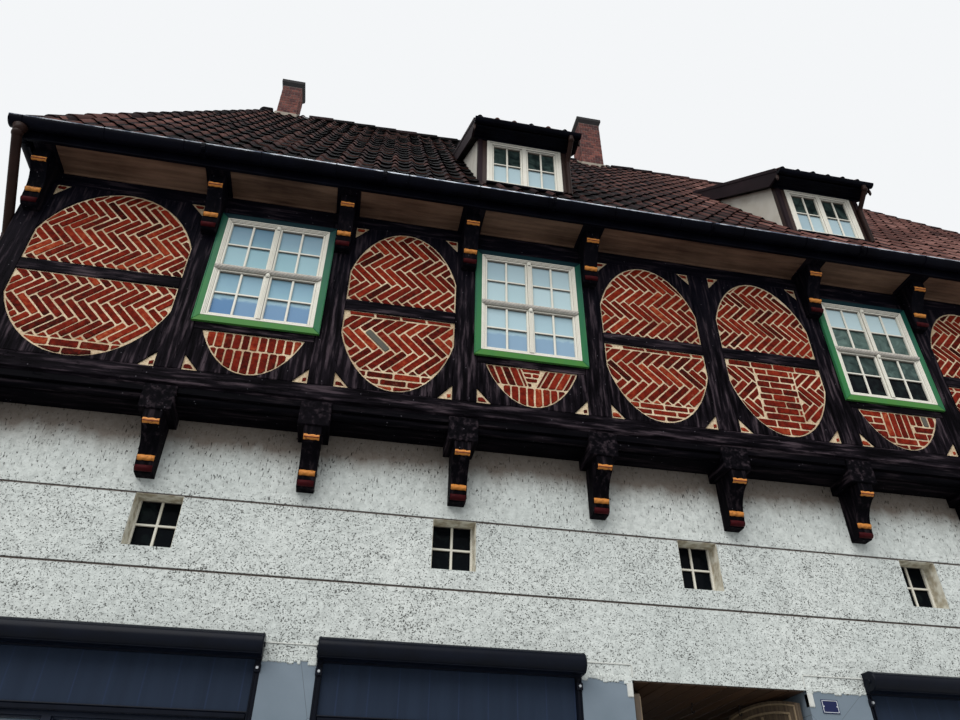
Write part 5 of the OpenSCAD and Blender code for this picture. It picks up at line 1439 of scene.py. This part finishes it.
# Shed dormers: corner posts in dark brown paint, a white casing round the
# window, lime-washed cheeks, and brown-black verge boards with pointed tips.
# The soffit and the sill are painted the navy of the gutters.
dormer_brown = clouded("brown_joinery_paint", "#2c1c17", 0.55, (25, 25, 330), 6.0, "#1d1210", "#42302a",
                       relief=(0.3, 0.002), Specular_IOR_Level=0.2)
use(dormer_brown, "dormer_posts")
verge_wood = clouded("weathered_verge_paint", "#1a1417", 0.6, (25, 380, 380), 7.0, "#0e0b0e", "#33262a",
                     relief=(0.4, 0.002), Specular_IOR_Level=0.05)
use(verge_wood, "dormer_verges")
cheek_lime = clouded("limewashed_cheek_render", "#d8d2c4", 0.85, 250, 7.0, "#bdb4a2", "#e8e4d9",
                     relief=(0.3, 0.004))
use(cheek_lime, "dormer_cheeks")
trims, tips, under = Shape(), Shape(), Shape()
shed_slope, shed_half, shed_long, shed_cover, shed_gauge = 0.885, 0.630, 2.62, 0.21, 0.33
verge_x, verge_half, verge_foot, verge_high = 0.648, 0.014, 0.060, 0.058
verge_y = (front_y - 0.20, front_y + 1.775)
for x in dormer_mid:
    tiles = Shape()
    up_slope = Vector((0, 1, shed_slope)).normalized()
    start = Vector((x - shed_half, front_y - 0.195, dormer_z + 0.065))
    tiled(tiles, start, Vector((1, 0, 0)), up_slope, 2 * shed_half, shed_long, shed_cover, shed_gauge,
          lambda p: 0.50, lambda p: False)
    roof = tiles.piece("dormer_pantiles_" + ("left" if x < 0 else "right"), pantile, "pantiles")
    rounded(roof, 45)
    for s in (-1, 1):
        xs, run = x + s * verge_x, verge_y[1] - verge_y[0]
        ends = [(xs + dx, y, dormer_z + verge_foot + rise + dz)
                for y, rise in ((verge_y[0], 0.0), (verge_y[1], shed_slope * run))
                for dx, dz in ((-verge_half, 0), (verge_half, 0), (verge_half, verge_high),
                               (-verge_half, verge_high))]
        trims.put((ends, [(0, 1, 2, 3), (7, 6, 5, 4), (0, 4, 5, 1), (1, 5, 6, 2), (2, 6, 7, 3), (3, 7, 4, 0)]),
                  0.6)
        point = [(xs - 0.013, dormer_z - 0.055), (xs, dormer_z - 0.085), (xs + 0.013, dormer_z - 0.055),
                 (xs + 0.013, dormer_z), (xs - 0.013, dormer_z)]
        tips.put(slab(point, front_y - 0.197, front_y - 0.170, 0.003))
        xc = x + s * (0.565 - 0.022)
        trims.put(block((xc - 0.026, front_y - 0.014, dormer_sill - 0.14),
                        (xc + 0.026, front_y + 0.03, dormer_z - 0.003), 0.004), 0.2)
    for k in range(3):
        y1 = front_y - 0.003 - k * 0.064
        under.put(block((x - 0.625, y1 - 0.060, dormer_z - 0.010), (x + 0.625, y1, dormer_z + 0.004), 0.003),
                  0.4)
    under.put(block((x - 0.60, front_y - 0.026, dormer_z - 0.030), (x + 0.60, front_y, dormer_z - 0.010),
                    0.006), 0.4)
    under.put(block((x - 0.47, front_y - 0.040, dormer_sill - 0.005), (x + 0.47, front_y, dormer_sill + 0.030),
                    0.008), 0.4)
trims.piece("dormer_edges", verge_wood, "brown_wood")
tips.piece("dormer_verge_tips", dormer_brown, "brown_wood")
under.piece("dormer_soffits_and_sills", navy_paint, "gutter_metal")

# Chimneys: stock brick in lime mortar, sooted dark near the top, with a dark
# cast cap that flares out. A mortar flashing seals the foot to the tiles.
stack_brick, add, place = new_material("sooted_stack_brick", "#5c3733", 0.85, Specular_IOR_Level=0.2)
axes = add("SeparateXYZ", {0: place}).node.outputs
own = add("Attribute", out=2, attribute_name="tone")
grain = add("TexNoise", {"Vector": place, "Scale": waves(33.3), "Detail": 6.0})
mixed = add("Math", (add("Math", (grain, own), operation="ADD"), 0.5), operation="MULTIPLY")
colour = add("Mix", {0: add("MapRange", (mixed, 0.25, 0.75)), 6: "#482a2b", 7: "#8a5247"}, **by_colour)
smoke = add("MapRange", (axes["Z"], 13.4, 14.6, 0.1, 0.5))
add("Mix", {0: smoke, 6: colour, 7: "#2f2422"}, **by_colour, to="Base Color")
add("Bump", {"Height": grain, "Strength": 0.6, "Distance": 0.004}, to="Normal")
stack_mortar = clouded("grey_stack_mortar", "#6f6560", 0.9, 16.67, 4.0, "#544b48", "#8b817a",
                       relief=(0.5, 0.003), Specular_IOR_Level=0.2)
use(stack_mortar, "chimneys")
cap_stone = clouded("sooty_cast_cap", "#1b1a1b", 0.75, 71.4, 7.0, "#100f10", "#2c292a", relief=(0.4, 0.006),
                    Specular_IOR_Level=0.2)
use(cap_stone, "chimney_caps")
stack_bricks, flashing = Shape(), Shape()
course, course_joint = 0.075, 0.003
stack_high = (ridge_z + 0.665, ridge_z + 1.035)
for mid, w, top in zip(stack_mid, stack_side, stack_high):
    low = ridge_z - slope * w / 2 - 0.12
    rows = int((top - 0.01 - low) / course)
    for turn_k in range(4):
        turn = Matrix.Translation((mid, 0, 0)) @ Matrix.Rotation(turn_k * math.pi / 2, 4, "Z")
        for row in range(rows):
            z = top - 0.006 - (row + 1) * course
            per = 4 if w > 0.4 else 3
            unit = w / per
            cuts = [-w / 2 + unit * k for k in range(per + 1)]
            if (row + turn_k) % 2:
                cuts = [-w / 2] + [-w / 2 + unit * (k + 0.5) for k in range(per)] + [w / 2]
            for a, b in zip(cuts, cuts[1:]):
                near = (a + course_joint, -w / 2 - random.uniform(0.003, 0.006), z + course_joint)
                far = (b - course_joint, -w / 2 + 0.02, z + course - 0.005)
                stack_bricks.put(block(near, far, 0.003), random.random(), turn)
    for s in (-1, 1):
        y = s * w / 2
        z = ridge_z - slope * w / 2
        flashing.put(block((mid - w / 2 - 0.03, y - 0.035, z - 0.02), (mid + w / 2 + 0.03, y + 0.035, z + 0.10),
                           0.012), 0.5)
        for sy in (-1, 1):
            x = mid + s * w / 2
            run = [(x + dx, sy * q, ridge_z - slope * q + dz) for q in (0.0, w / 2 + 0.03)
                   for dx, dz in ((-0.028, -0.02), (0.028, -0.02), (0.020, 0.105), (-0.020, 0.105))]
            faces = [(0, 1, 5, 4), (1, 2, 6, 5), (2, 3, 7, 6), (3, 0, 4, 7), (0, 3, 2, 1), (4, 5, 6, 7)]
            flashing.put((run, faces if sy > 0 else [f[::-1] for f in faces]), 0.5)
stack_bricks.piece("stack_bricks", stack_brick, "chimney_brick")
flashing_mortar = clouded("beige_flashing_mortar", "#938979", 0.9, 50, 6.0, "#6f665a", "#b0a595",
                          relief=(0.5, 0.005))
flashing.piece("stack_flashing", flashing_mortar, "chimney_brick")
